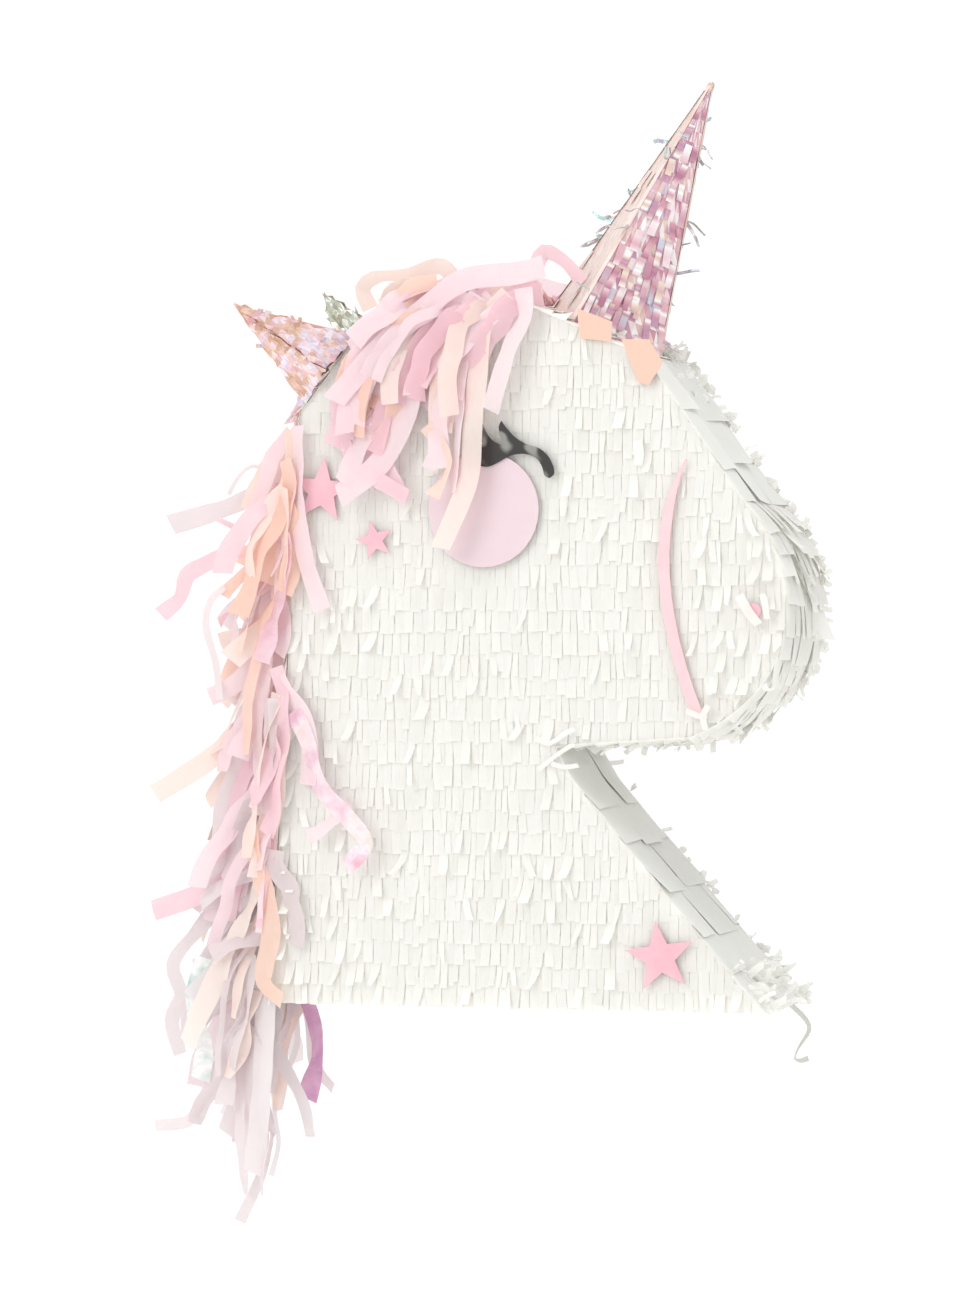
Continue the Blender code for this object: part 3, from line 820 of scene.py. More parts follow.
class FaceFringe(Fringe):
    """Tissue fringe in level rows on one flat face of the head."""

    card_gap = 0.3 * MM
    calm_reach = 6 * MM
    row_jitter_mm = 0.6
    start_jitter_mm = 0.5
    slipped_mm = 2.2
    slipped_share = 0.2
    overhang = 0.6 * MM
    least_width = 1.2 * MM
    least_length = 2 * MM

    def __init__(
        self, profile: HeadProfile, side: int, calm: Sequence[tuple[float, float, float]], seed: int
    ) -> None:
        """Sets the face.

        Args:
            profile: The head's outline.
            side: -1 for the near face and 1 for the far one.
            calm: Rounds that lie under cut-outs: X, Z and radius.
            seed: What sets this face's strips apart.
        """
        super().__init__(StripStyle(), seed)
        self.profile, self.side, self.calm = profile, side, calm

    def place(self, across: float, down: float, lift: float) -> Vector:
        """Gives a point on the face, where across is X and down is Z."""
        return Vector((across, self.side * (self.profile.half_depth + self.card_gap + lift), down))

    def calmness(self, x: float, z: float) -> float:
        """How freely a strip may lift: 0 under a cut-out, and 1 a strip's length away from it."""
        gap = min((math.hypot(x - cx, z - cz) - radius for cx, cz, radius in self.calm), default=1)
        return min(1.0, max(0.0, gap / self.calm_reach))

    def stir(self, x: float, z: float) -> float:
        """How much more often a strip stands off: most at the nape, the muzzle and the base."""
        u, v = (x - self.profile.left) / self.profile.width, (z - self.profile.base) / self.profile.height
        nape = max(0.0, 1 - (u - 0.07 * v) / 0.14) if v < 0.75 else 0.0
        muzzle = max(0.0, 1 - abs(u - 0.95) / 0.16) if 0.36 < v < 0.72 else 0.0
        return 0.8 + max(2.4 * nape, 6.0 * muzzle, 2.4 * max(0.0, 1 - v / 0.09))

    def cover(self, box: Box | None = None, hole: Box | None = None) -> None:
        """Lays the rows.

        Args:
            box: Left, right, low and high of the part to cover, or None for the whole face.
            hole: The same for a part to leave bare, or None.
        """
        profile, style, rng = self.profile, self.style, self.rng
        left = box[0] if box else min(x for x, _ in profile.loop)
        right = box[1] if box else max(x for x, _ in profile.loop)
        low = box[2] if box else profile.base
        high = box[3] if box else profile.base + profile.height
        rows = math.ceil((high - low) / style.pitch) + 1
        for row in range(rows):
            level = low + (rows - 1 - row) * style.pitch + 4 * MM
            level += rng.uniform(-self.row_jitter_mm, self.row_jitter_mm) * MM
            x = left - rng.uniform(0, style.width)
            while x < right:
                width = style.width * rng.uniform(0.62, 1.4)
                slip_mm = self.slipped_mm if rng.random() < self.slipped_share else self.start_jitter_mm
                start = level + rng.gauss(0, slip_mm) * MM
                self.hang(max(x, left + 0.2 * MM), min(x + width, right - 0.2 * MM), start, low, high, hole)
                x += width + rng.uniform(0.0, 0.35) * MM

    def hang(
        self, left: float, right: float, level: float, low: float, high: float, hole: Box | None
    ) -> None:
        """Trims one strip to the head's outline and adds it.

        Args:
            left: The strip's left side.
            right: Its right side.
            level: The height of its row.
            low: The lowest that it may reach.
            high: The highest that it may start.
            hole: A part that is left bare, or None.
        """
        if right - left < self.least_width:
            return
        length = self.style.length * self.rng.uniform(0.93, 1.04)
        downs = (length * 0.25, length * 0.6)
        spans = [self.profile.span(x, level - down) for x in (left, right) for down in downs]
        sides = [spans[0] or spans[1], spans[2] or spans[3]]
        if None in sides:
            return
        is_part = hole or high < self.profile.base + 0.9 * self.profile.height
        over = 0.0 if is_part else self.overhang
        top = [min(level, span[1] + over, high + over) for span in sides]
        bottom = [
            max(level - length, span[0] - self.rng.uniform(0, 1.4) * over, low - over) for span in sides
        ]
        if hole and right > hole[0] and left < hole[1]:
            if min(top) > hole[3] > min(bottom):
                bottom = [max(b, hole[3]) for b in bottom]
            elif min(bottom) < hole[3] and max(top) > hole[2]:
                if max(bottom) > hole[2]:
                    return
                top = [min(t, hole[2]) for t in top]
        if min(t - b for t, b in zip(top, bottom)) < self.least_length:
            return
        middle = (left + right) / 2
        calm = min(self.calmness(middle, z) for z in (top[0], (top[0] + bottom[0]) / 2, bottom[0]))
        self.strip(left, right, top, bottom, calm, self.stir(middle, level))


class EdgeFringe(Fringe):
    """Fringe or loose sheet across one edge strip, in rows square to the outline."""

    beyond_card = 2.6 * MM

    def __init__(
        self, profile: HeadProfile, start: Corner, end: Corner, style: StripStyle, seed: int
    ) -> None:
        """Sets the edge.

        Args:
            profile: The head's outline.
            start: The corner where the edge starts, clockwise.
            end: The corner where it ends.
            style: How the strips hang.
            seed: What sets this edge's strips apart.
        """
        super().__init__(style, seed)
        self.route = [Vector(spot) for spot in profile.run(start, end)]
        self.half = profile.half_depth + self.beyond_card
        self.arcs = [0.0]
        for a, b in zip(self.route, self.route[1:]):
            self.arcs.append(self.arcs[-1] + (b - a).length)

    def place(self, across: float, down: float, lift: float) -> Vector:
        """Gives a point on the edge.

        Args:
            across: Y.
            down: How far along the outline.
            lift: How far off the card.

        Returns:
            The point.
        """
        last = len(self.arcs) - 2
        i = next((i for i in range(last) if down < self.arcs[i + 1]), last)
        a, b = self.route[i], self.route[i + 1]
        along = (b - a).normalized()
        spot = a + along * (down - self.arcs[i])
        share = (down - self.arcs[i]) / (self.arcs[i + 1] - self.arcs[i])
        near = self.route[max(i - 1, 0)] if share < 0.5 else self.route[min(i + 2, last + 1)]
        other = (a - near) if share < 0.5 else (near - b)
        if other.length > 1e-6 and other.normalized().dot(along) > 0.85:
            blend = abs(share - 0.5) * 0.999 if 0 <= share <= 1 else 0.5
            along = along.lerp(other.normalized(), blend).normalized()
        tuck = min(1.0, max(0.0, (self.half - abs(across)) / (4 * MM))) ** 0.5
        out = Vector((-along.y, along.x)) * ((0.5 * MM + lift) * tuck - 0.3 * MM * (1 - tuck))
        return Vector((spot.x + out.x, across, spot.y + out.y))

    def cover(self) -> None:
        """Lays the rows from the end of the edge back to its start, so that each hangs over the next."""
        style, rng, total = self.style, self.rng, self.arcs[-1]
        rows = max(1, round(total / style.pitch))
        for row in range(rows):
            start = row * total / rows
            y = -self.half - rng.uniform(0, 0.6) * MM
            while y < self.half - 1 * MM:
                width = min(style.width * rng.uniform(0.6, 1.5), self.half - y)
                length = style.length * rng.uniform(0.85, 1.1)
                end = min(start + length, total + 1.5 * MM)
                self.strip(y, y + width, (start, start), (end, end + rng.uniform(-1, 1) * MM), 1.0)
                y += width + rng.uniform(0, 0.3) * MM

    def tuft(self, count: int, where: Share, sides: Share, length: float) -> None:
        """Adds loose narrow ends that stand off the edge.

        Args:
            count: How many.
            where: Shares of the edge that they are spread over.
            sides: Shares of the depth that they are spread over, from -1 near to 1 far.
            length: Their usual length.
        """
        rng, total = self.rng, self.arcs[-1]
        for _ in range(count):
            down, y = total * rng.uniform(*where), self.half * rng.uniform(*sides)
            root = self.place(y, down, 0.8 * MM)
            out = (self.place(y, down, 5 * MM) - root).normalized()
            ahead = Vector((out.z, 0, -out.x))
            reach, lean = length * rng.uniform(0.5, 1.3), rng.uniform(-0.2, 1.25)
            curl, side = rng.gauss(0, 0.7), rng.gauss(0, 0.35)
            points = [root]
            for i in range(3):
                angle = lean + curl * i / 2
                way = out * math.cos(angle) + ahead * math.sin(angle) + Vector((0, side, 0))
                points.append(points[-1] + way.normalized() * reach / 3)
            facing = Vector((rng.gauss(0.4, 0.5), -1, rng.gauss(0, 0.5))).normalized()
            rolls = (rng.gauss(0, 20), rng.gauss(0, 45))
            width = rng.uniform(1.8, 4.6) * MM
            tone, seed = rng.uniform(0.1, 0.6), rng.random()
            ribbon(self.draft, points, width, facing, rolls, tone, seed, (1.0, 0.8))


# ---------------------------------------------------------------------------------------------------------
# Sub-assemblies
# ---------------------------------------------------------------------------------------------------------
@dataclass
class TissueCover:
    """The white fringe over both faces, the fill flap and the edges of the head."""

    profile: HeadProfile
    discs: tuple[str, ...] = ("cheek", "neck_star", "temple_star", "small_star", "nostril")
    band: Share = (0.12, 0.74)

    def calm_rounds(self, word: str) -> list[tuple[float, float, float]]:
        """Lists the rounds that lie under cut-outs, so that no strip stands through one.

        Args:
            word: near or far.

        Returns:
            X, Z and radius of each round.
        """
        rounds = []
        for name in self.discs:
            low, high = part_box(f"{name}_{word}")
            rounds.append(((low.x + high.x) / 2, (low.z + high.z) / 2, (high.x - low.x) / 2))
        low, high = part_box(f"eyelid_{word}")
        middle = (low + high) / 2
        rounds += [(middle.x + dx, middle.z, (high.z - low.z) / 2) for dx in (-12 * MM, 0.0, 12 * MM)]
        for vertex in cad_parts[f"halter_{word}"].data.vertices:
            if self.band[0] < (vertex.co.z - self.profile.base) / self.profile.height < self.band[1]:
                rounds.append((vertex.co.x, vertex.co.z, 1.5 * MM))
        return rounds

    def build_faces(self) -> None:
        """Covers both faces, and the fill flap, whose strips turn with it."""
        near = FaceFringe(self.profile, -1, self.calm_rounds("near"), 11)
        near.cover()
        near.draft.piece("front_face_fringe", WHITE_TISSUE, "white_tissue", stands_for=["front_fringe"])
        low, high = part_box("flap_fringe")
        card_low, card_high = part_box("fill_flap")
        clear = card_high.z - high.z
        hole = (card_low.x - 1 * MM, card_high.x + 1 * MM, card_low.z - 1 * MM, card_high.z + clear)
        far = FaceFringe(self.profile, 1, self.calm_rounds("far"), 12)
        far.cover(hole=hole)
        far.draft.piece("rear_face_fringe", WHITE_TISSUE, "white_tissue", stands_for=["rear_fringe"])
        flap = FaceFringe(self.profile, 1, self.calm_rounds("far"), 13)
        flap.cover(box=(low.x, high.x, low.z, high.z))
        flap.draft.piece("flap_tissue_fringe", WHITE_TISSUE, "white_tissue", "flap", ["flap_fringe"])

    def build_edges(self) -> None:
        """Covers the edges: loose sheets over the bridge and throat, and cut rows on the rest."""
        sheet = StripStyle(30 * MM, 40 * MM, 38 * MM, 0.008, 0.012, 0.03, 0.2, 0.6 * MM, 10, 1.1 * MM)
        cut = StripStyle(12 * MM, 17 * MM, 8 * MM, 0.06, 0.16, 0.14, 0.9, 0.8 * MM, 5)
        wide = StripStyle(14 * MM, 22 * MM, 13 * MM, 0.05, 0.15, 0.16, 0.8, 0.8 * MM, 5)
        fine = StripStyle(12 * MM, 16 * MM, 5 * MM, 0.05, 0.12, 0.08, 0.9, 0.5 * MM, 4)
        edges = (
            ("nape", Corner.BASE, Corner.NAPE, fine, 21, ()),
            ("poll", Corner.NAPE, Corner.POLL, fine, 28, ()),
            ("horn_seat", Corner.CROWN, Corner.BROW, fine, 29, ()),
            (
                "bridge", Corner.BROW, Corner.NOSE, sheet, 22,
                ((30, (0.0, 1.0), (0.85, 1.0), 6 * MM), (10, (0.0, 0.3), (-0.2, 1.0), 6 * MM)),
            ),
            (
                "muzzle", Corner.NOSE, Corner.CHIN, wide, 23,
                ((44, (0.0, 1.0), (0.8, 1.0), 5.5 * MM), (16, (0.5, 1.0), (-1.0, 1.0), 6 * MM)),
            ),
            ("jaw", Corner.CHIN, Corner.JAW, cut, 24, ((16, (0.0, 0.45), (-0.6, 1.0), 8 * MM),)),
            (
                "throat", Corner.JAW, Corner.CHEST, sheet, 25,
                ((14, (0.1, 0.85), (0.85, 1.0), 5 * MM), (60, (0.84, 1.0), (-0.9, 1.0), 10 * MM)),
            ),
        )
        for name, start, end, style, seed, tufts in edges:
            fringe = EdgeFringe(self.profile, start, end, style, seed)
            if name in ("nape", "poll"):
                fringe.route.reverse()
                fringe.route = [Vector((2 * fringe.route[0].x - p.x, p.y)) for p in fringe.route]
            fringe.cover()
            for count, where, sides, length in tufts:
                fringe.tuft(count, where, sides, length)
            if name in ("nape", "poll"):
                mirror = fringe.route[0].x
                for point in fringe.draft.points:
                    point.x = 2 * mirror - point.x
            finish = SHEET_TISSUE if style is sheet else WHITE_TISSUE
            stands = [f"{name}_fringe"] if f"{name}_fringe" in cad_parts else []
            fringe.draft.piece(f"{name}_tissue_fringe", finish, "white_tissue", stands_for=stands)

    def build_collar(self) -> None:
        """Adds the short white ends round the horn's foot."""
        collar = EdgeFringe(self.profile, Corner.CROWN, Corner.BROW, StripStyle(), 26)
        collar.tuft(30, (0.55, 1.0), (0.6, 1.0), 11 * MM)
        collar.tuft(14, (0.0, 1.0), (0.8, 1.0), 8 * MM)
        collar.draft.piece("horn_collar_tufts", WHITE_TISSUE, "white_tissue")

    def build_dangle(self) -> None:
        """Adds the thin kinked strip that hangs from the chest corner, in grey tissue that is painted shade.
        """
        x, z = self.profile.at(Corner.CHEST.value)
        spots = ((-4, 0.6), (6, -9), (7.5, -14), (1.5, -24), (-0.5, -30), (3, -31), (7, -29.5))
        route = [Vector((x + a * MM, 30 * MM, z + b * MM)) for a, b in spots]
        draft = Draft()
        ribbon(draft, route, 3 * MM, Vector((0, -1, 0)), (0, 30, 60, 10), 0.7, 0.3)
        draft.piece("chest_dangle", SHADED_WHITE_TISSUE, "white_tissue")

    def build_loose_ends(self) -> None:
        """Adds the torn ends over the nostril and the halter's end, and those across the mouth's corner."""
        ends = (
            ((0.938, 0.562), 6.0, ((-7, 8.5), (-4.5, 4), (-1.5, -1), (3.5, -7)), 5.2),
            ((0.938, 0.562), 6.0, ((5.5, 9), (7, 4), (8, -4)), 3.6),
            ((0.835, 0.415), 5.6, ((-6, 3), (0, 0.5), (5, -1)), 3.2),
            ((0.835, 0.415), 5.8, ((6, 6), (3, 0), (4.5, -7)), 3.4),
            ((0.718, 0.770), 5.4, ((1, 12), (2, 5), (1, -1)), 5.0),
            (Corner.JAW.value, 4.6, ((-9, 4), (-2, 1), (6, 6), (12, 9)), 2.6),
            (Corner.JAW.value, 3.4, ((-8, -13), (-2, -8), (5, -3), (12, 1)), 2.4),
            ((0.575, 0.340), 3.0, ((-6, 3), (1, 1), (9, 2)), 2.6),
        )
        for word, side in (("near", -1), ("far", 1)):
            draft = Draft()
            for i, (share, depth, spots, width) in enumerate(ends):
                x, z = self.profile.at(share)
                y = side * (self.profile.half_depth + depth * MM)
                route = [Vector((x + a * MM, y, z + b * MM)) for a, b in spots]
                ribbon(draft, route, width * MM, Vector((0, side, 0)), (10, -15, 20), 0.4, 0.13 * i)
            draft.piece(f"loose_ends_{word}", WHITE_TISSUE, "white_tissue")

    def build(self) -> None:
        """Builds the whole cover."""
        self.build_faces()
        self.build_edges()
        self.build_collar()
        self.build_dangle()
        self.build_loose_ends()


def ribbon(
    draft: Draft,
    points: Sequence[Vector],
    width: float,
    facing: Vector,
    rolls: Sequence[float],
    tone: float,
    seed: float,
    ends: Share = (1.0, 1.0),
) -> None:
    """Adds a strip of tissue or film along a route.

    Args:
        draft: The mesh that it goes in.
        points: The route.
        width: The strip's width.
        facing: The way its flat side looks.
        rolls: How far it is turned about its route, in degrees, spread evenly along it.
        tone: Its tone.
        seed: A number that sets it apart.
        ends: The share of the width left at its start and end.
    """
    route = through(points, 4 * MM)
    rows, tones = [], []
    last = len(route) - 1
    for i, here in enumerate(route):
        t = i / last
        along = (route[min(i + 1, last)] - route[max(i - 1, 0)]).normalized()
        side = along.cross(facing)
        side = side.normalized() if side.length > 0.15 else along.cross(Vector((0.3, 0.2, 1))).normalized()
        place = t * (len(rolls) - 1)
        k = min(int(place), len(rolls) - 2)
        roll = rolls[k] + (rolls[k + 1] - rolls[k]) * (place - k)
        wave = noise.noise(Vector((seed * 91, i * 0.23, 4.1)))
        side = Matrix.Rotation(math.radians(roll + 26 * wave), 3, along) @ side
        normal = side.cross(along)
        left, gone = (ends[0], t) if t < 0.5 else (ends[1], 1 - t)
        half = width / 2 * (left + (1 - left) * min(1, gone / 0.2))
        cup = width * (0.05 + 0.12 * noise.noise(Vector((i * 0.31, seed * 57, 1.3))))
        slant = along * (0.3 * width * (seed - 0.5) if i == last else 0)
        rows.append([here - side * half - slant, here + normal * cup, here + side * half + slant])
        tones.append(min(1, max(0, tone + 0.18 * wave)))
    draft.grid(rows, tones, seed)


@dataclass(frozen=True)
class Streamer:
    """One strip of the mane: its lock, its paper or film, its depth, width, rolls, and route in shares."""

    lock: str
    strip: Strip
    depth_mm: tuple[float, float]
    width_mm: float
    rolls: tuple[float, ...]
    route: tuple[Share, ...]


def draw(rng: random.Random, shares: dict[Strip, float]) -> Strip:
    """Picks what a streamer is cut from.

    Args:
        rng: Where the choice comes from.
        shares: How often each is used.

    Returns:
        The choice.
    """
    return rng.choices(list(shares), list(shares.values()))[0]


@dataclass
class Mane:
    """Paper and film streamers from the crown, over both faces, and down the nape."""

    profile: HeadProfile
    width: float = 10.5 * MM
    nape_count: int = 165
    face_count: int = 34
    crown_count: int = 34
    drape_count: int = 34
    tail_count: int = 30
    poll_count: int = 30
    nape_slope: float = 0.0705
    drape_depth: float = 0.0492
    face_depth: float = 0.0498
    loop_gap: float = 3 * MM
    drafts: dict[tuple[str, Strip], Draft] = field(default_factory=dict)

    placed = (
        Streamer(
            "crown_lock_back", Strip.PEACH, (-28, -30), 9, (20, 60, 20, 0),
            ((0.18, 1.0), (0.165, 1.03), (0.19, 1.045), (0.255, 1.047), (0.324, 1.058), (0.356, 1.03)),
        ),
        Streamer(
            "forelock_near_2", Strip.BLUSH, (-50, -60), 12.5, (10, 0, 0, 0),
            ((0.543, 1.05), (0.495, 1.041), (0.391, 1.032), (0.311, 0.988), (0.235, 0.939), (0.144, 0.863)),
        ),
        Streamer(
            "crown_lock_front", Strip.ROSE, (-36, -30), 9, (30, 0, 40, 20),
            ((0.47, 1.02), (0.502, 1.038), (0.527, 1.074), (0.562, 1.062), (0.598, 1.03)),
        ),
        Streamer(
            "forelock_near_3", Strip.BLUSH, (-50, -58), 10, (0, 20, 0),
            ((0.503, 1.02), (0.509, 0.985), (0.482, 0.936), (0.447, 0.846)),
        ),
        Streamer(
            "forelock_near_3", Strip.PEACH, (-52, -63), 11.5, (0, 10, 25, 0, 10),
            (
                (0.478, 1.01), (0.434, 0.974), (0.421, 0.898), (0.413, 0.823), (0.408, 0.751),
                (0.390, 0.712), (0.356, 0.652),
            ),
        ),
        Streamer(
            "forelock_near_3", Strip.BLUSH, (-50, -58), 9, (10, 30, 50),
            ((0.44, 1.01), (0.406, 0.986), (0.388, 0.918), (0.382, 0.824), (0.376, 0.73)),
        ),
        Streamer(
            "forelock_near_2", Strip.BLUSH, (-52, -57), 13, (0, 10, 0),
            ((0.40, 1.01), (0.345, 0.98), (0.304, 0.93), (0.282, 0.848), (0.232, 0.776), (0.151, 0.727)),
        ),
        Streamer(
            "forelock_near_1", Strip.ROSE, (-50, -57), 9, (30, 0, 20, 0),
            ((0.20, 0.95), (0.165, 0.909), (0.143, 0.864), (0.181, 0.768), (0.21, 0.757), (0.285, 0.725)),
        ),
        Streamer(
            "forelock_near_1", Strip.APRICOT, (-50, -55), 13, (0, 20, 40, 0),
            ((0.169, 0.865), (0.197, 0.838), (0.221, 0.806), (0.256, 0.828), (0.264, 0.857)),
        ),
        Streamer(
            "forelock_near_1", Strip.APRICOT, (-44, -52), 11, (0, 25, 0),
            ((0.33, 1.03), (0.279, 1.024), (0.255, 0.993), (0.240, 0.945), (0.20, 0.90)),
        ),
        Streamer(
            "forelock_near_1", Strip.APRICOT, (-46, -53), 10, (0, 15, 30),
            ((0.30, 1.01), (0.262, 0.965), (0.235, 0.90), (0.206, 0.855)),
        ),
        Streamer(
            "forelock_near_2", Strip.ROSE, (-52, -54), 9, (0, 30, 0),
            ((0.20, 0.79), (0.237, 0.776), (0.252, 0.755), (0.276, 0.722)),
        ),
        Streamer(
            "forelock_near_3", Strip.APRICOT, (-56, -61), 9, (0, 20, 50, 0),
            ((0.322, 0.827), (0.353, 0.797), (0.367, 0.774), (0.359, 0.749), (0.338, 0.725)),
        ),
        Streamer(
            "forelock_near_3", Strip.BLUSH, (-52, -59), 12, (0, 15, 0),
            ((0.42, 1.01), (0.38, 0.96), (0.35, 0.89), (0.345, 0.83), (0.352, 0.765)),
        ),
        Streamer(
            "forelock_near_2", Strip.BLUSH, (-51, -57), 11, (0, 15, 0),
            ((0.37, 1.01), (0.31, 0.95), (0.25, 0.87), (0.19, 0.80), (0.16, 0.745)),
        ),
        Streamer(
            "forelock_near_2", Strip.PINK_FILM, (-51, -56), 10, (0, 30, 0),
            ((0.34, 0.99), (0.29, 0.93), (0.25, 0.86), (0.21, 0.82)),
        ),
        Streamer(
            "nape_lock_1", Strip.ROSE, (-24, -30), 10, (0, 30, 0),
            ((0.045, 0.835), (0.012, 0.80), (0.010, 0.765), (0.0, 0.72)),
        ),
        Streamer(
            "nape_lock_2", Strip.MAUVE, (-10, -18), 11.5, (0, 15, 0),
            ((-0.02, 0.74), (-0.071, 0.733), (-0.13, 0.715), (-0.235, 0.692)),
        ),
        Streamer(
            "nape_lock_1", Strip.PALE, (-20, -22), 2.4, (0, 30, 0),
            ((-0.03, 0.78), (-0.047, 0.775), (-0.067, 0.776), (-0.091, 0.762), (-0.112, 0.735)),
        ),
        Streamer(
            "nape_lock_2", Strip.ROSE, (0, 4), 3.5, (0, 40, 0),
            ((-0.116, 0.685), (-0.17, 0.703), (-0.215, 0.716)),
        ),
        Streamer(
            "nape_lock_3", Strip.ROSE, (-10, -20), 10, (60, 20, 0, 10),
            (
                (-0.059, 0.658), (-0.128, 0.648), (-0.175, 0.632), (-0.204, 0.618), (-0.216, 0.585),
                (-0.253, 0.560),
            ),
        ),
        Streamer(
            "nape_lock_2", Strip.APRICOT, (-45, -42), 10, (20, 50, 20, 0),
            ((0.044, 0.825), (0.036, 0.782), (0.022, 0.739), (0.014, 0.68), (-0.014, 0.606)),
        ),
        Streamer(
            "nape_lock_3", Strip.PEACH, (-46, -40), 14, (20, 0, 10, 0),
            ((0.036, 0.694), (0.032, 0.606), (0.028, 0.562), (-0.024, 0.533), (-0.087, 0.494)),
        ),
        Streamer(
            "nape_lock_2", Strip.BLUSH, (-50, -52), 10, (20, 50, 0, 0),
            ((0.060, 0.83), (0.064, 0.752), (0.066, 0.693), (0.080, 0.634), (0.112, 0.565)),
        ),
        Streamer(
            "nape_lock_4", Strip.PALE, (-30, -34), 4.5, (20, 0, 20),
            ((-0.110, 0.60), (-0.136, 0.581), (-0.146, 0.548), (-0.124, 0.488), (-0.115, 0.436)),
        ),
        Streamer(
            "nape_lock_4", Strip.PEACH, (-30, -22), 12.5, (20, 0, 10),
            ((0.01, 0.50), (-0.018, 0.45), (-0.055, 0.405), (-0.152, 0.347), (-0.262, 0.297)),
        ),
        Streamer(
            "nape_lock_4", Strip.BLUSH, (-50, -52), 12, (40, 10, 20),
            ((0.025, 0.47), (0.043, 0.446), (0.073, 0.411), (0.087, 0.365), (0.083, 0.315)),
        ),
        Streamer(
            "nape_lock_5", Strip.PINK_FILM, (-52, -56), 10, (0, 20, 0, 20),
            ((0.055, 0.42), (0.083, 0.379), (0.109, 0.314), (0.166, 0.268), (0.201, 0.232), (0.165, 0.198)),
        ),
        Streamer(
            "nape_lock_5", Strip.BLUSH, (-52, -54), 8, (0, 30, 0),
            ((0.165, 0.29), (0.13, 0.262), (0.10, 0.245), (0.085, 0.242)),
        ),
        Streamer(
            "nape_lock_5", Strip.ROSE, (-26, -20), 11.5, (30, 0, 0),
            ((-0.02, 0.245), (-0.077, 0.19), (-0.173, 0.151), (-0.268, 0.126)),
        ),
        Streamer(
            "nape_lock_6", Strip.APRICOT, (-50, -50), 11, (40, 10, 10, 30),
            ((-0.03, 0.25), (-0.024, 0.21), (0.0, 0.153), (0.008, 0.10), (-0.006, 0.03), (0.03, 0.004)),
        ),
        Streamer(
            "nape_lock_6", Strip.MAUVE, (-10, -14), 9, (20, 0, 30, 0, 20),
            (
                (-0.104, 0.171), (-0.185, 0.10), (-0.239, 0.045), (-0.221, 0.0), (-0.239, -0.036),
                (-0.221, -0.085),
            ),
        ),
        Streamer(
            "nape_lock_6", Strip.MINT_FILM, (-30, -34), 11, (0, 30, 0),
            ((-0.150, 0.06), (-0.172, 0.0), (-0.148, -0.066), (-0.154, -0.117)),
        ),
        Streamer(
            "tail_lock_near", Strip.MAUVE, (-30, -36), 6.5, (0, 20, 0, 20),
            ((-0.083, -0.014), (-0.117, -0.086), (-0.165, -0.165), (-0.18, -0.178), (-0.243, -0.185)),
        ),
        Streamer(
            "tail_lock_near", Strip.MAUVE, (-34, -36), 9, (0, 20, 50),
            ((-0.028, 0.04), (-0.055, -0.06), (-0.073, -0.173), (-0.060, -0.28)),
        ),
        Streamer(
            "tail_lock_near", Strip.PALE, (-38, -42), 12, (0, 10, 0),
            ((-0.016, 0.03), (-0.022, -0.113), (-0.036, -0.248)),
        ),
        Streamer(
            "tail_lock_near", Strip.MAUVE, (-24, -30), 7, (30, 0, 50, 0),
            ((-0.085, 0.0), (-0.06, -0.11), (-0.018, -0.189), (-0.035, -0.248), (-0.079, -0.322)),
        ),
        Streamer(
            "tail_lock_far", Strip.VIOLET_FILM, (18, 10), 12.5, (20, 40, 0),
            ((-0.012, 0.01), (0.018, -0.045), (0.026, -0.09), (0.008, -0.152)),
        ),
        Streamer(
            "tail_lock_far", Strip.MAUVE, (24, 26), 9, (20, 0, 30),
            ((-0.01, 0.01), (0.004, -0.06), (0.010, -0.11), (0.043, -0.14)),
        ),
    )

    seeds = {"placed": 500, "nape": 77, "drape": 41, "tail": 58, "faces": 31, "crown": 93, "poll": 87}
    reach = (
        (0.86, 0.05), (0.76, 0.08), (0.70, 0.15), (0.60, 0.19),
        (0.45, 0.17), (0.32, 0.24), (0.20, 0.22), (0.0, 0.20),
    )
    roots = {
        0.82: "nape_lock_1", 0.70: "nape_lock_2", 0.58: "nape_lock_3", 0.45: "nape_lock_4",
        0.31: "nape_lock_5", 0.20: "nape_lock_6", 0.11: "tail_lock_near", 0.06: "tail_lock_far",
    }
    upper = {
        Strip.PEACH: 0.34, Strip.APRICOT: 0.15, Strip.BLUSH: 0.34, Strip.ROSE: 0.12,
        Strip.PINK_FILM: 0.05,
    }
    middle = {
        Strip.BLUSH: 0.42, Strip.PEACH: 0.26, Strip.ROSE: 0.13, Strip.APRICOT: 0.05, Strip.MAUVE: 0.11,
        Strip.PINK_FILM: 0.03,
    }
    lower = {Strip.MAUVE: 0.40, Strip.PALE: 0.44, Strip.BLUSH: 0.07, Strip.PEACH: 0.07, Strip.MINT_FILM: 0.02}
    face = {
        Strip.BLUSH: 0.58, Strip.ROSE: 0.21, Strip.PEACH: 0.10, Strip.APRICOT: 0.08,
        Strip.PINK_FILM: 0.03,
    }

    def draft(self, lock: str, strip: Strip) -> Draft:
        """The mesh that gathers one lock's strips of one paper."""
        return self.drafts.setdefault((lock, strip), Draft())

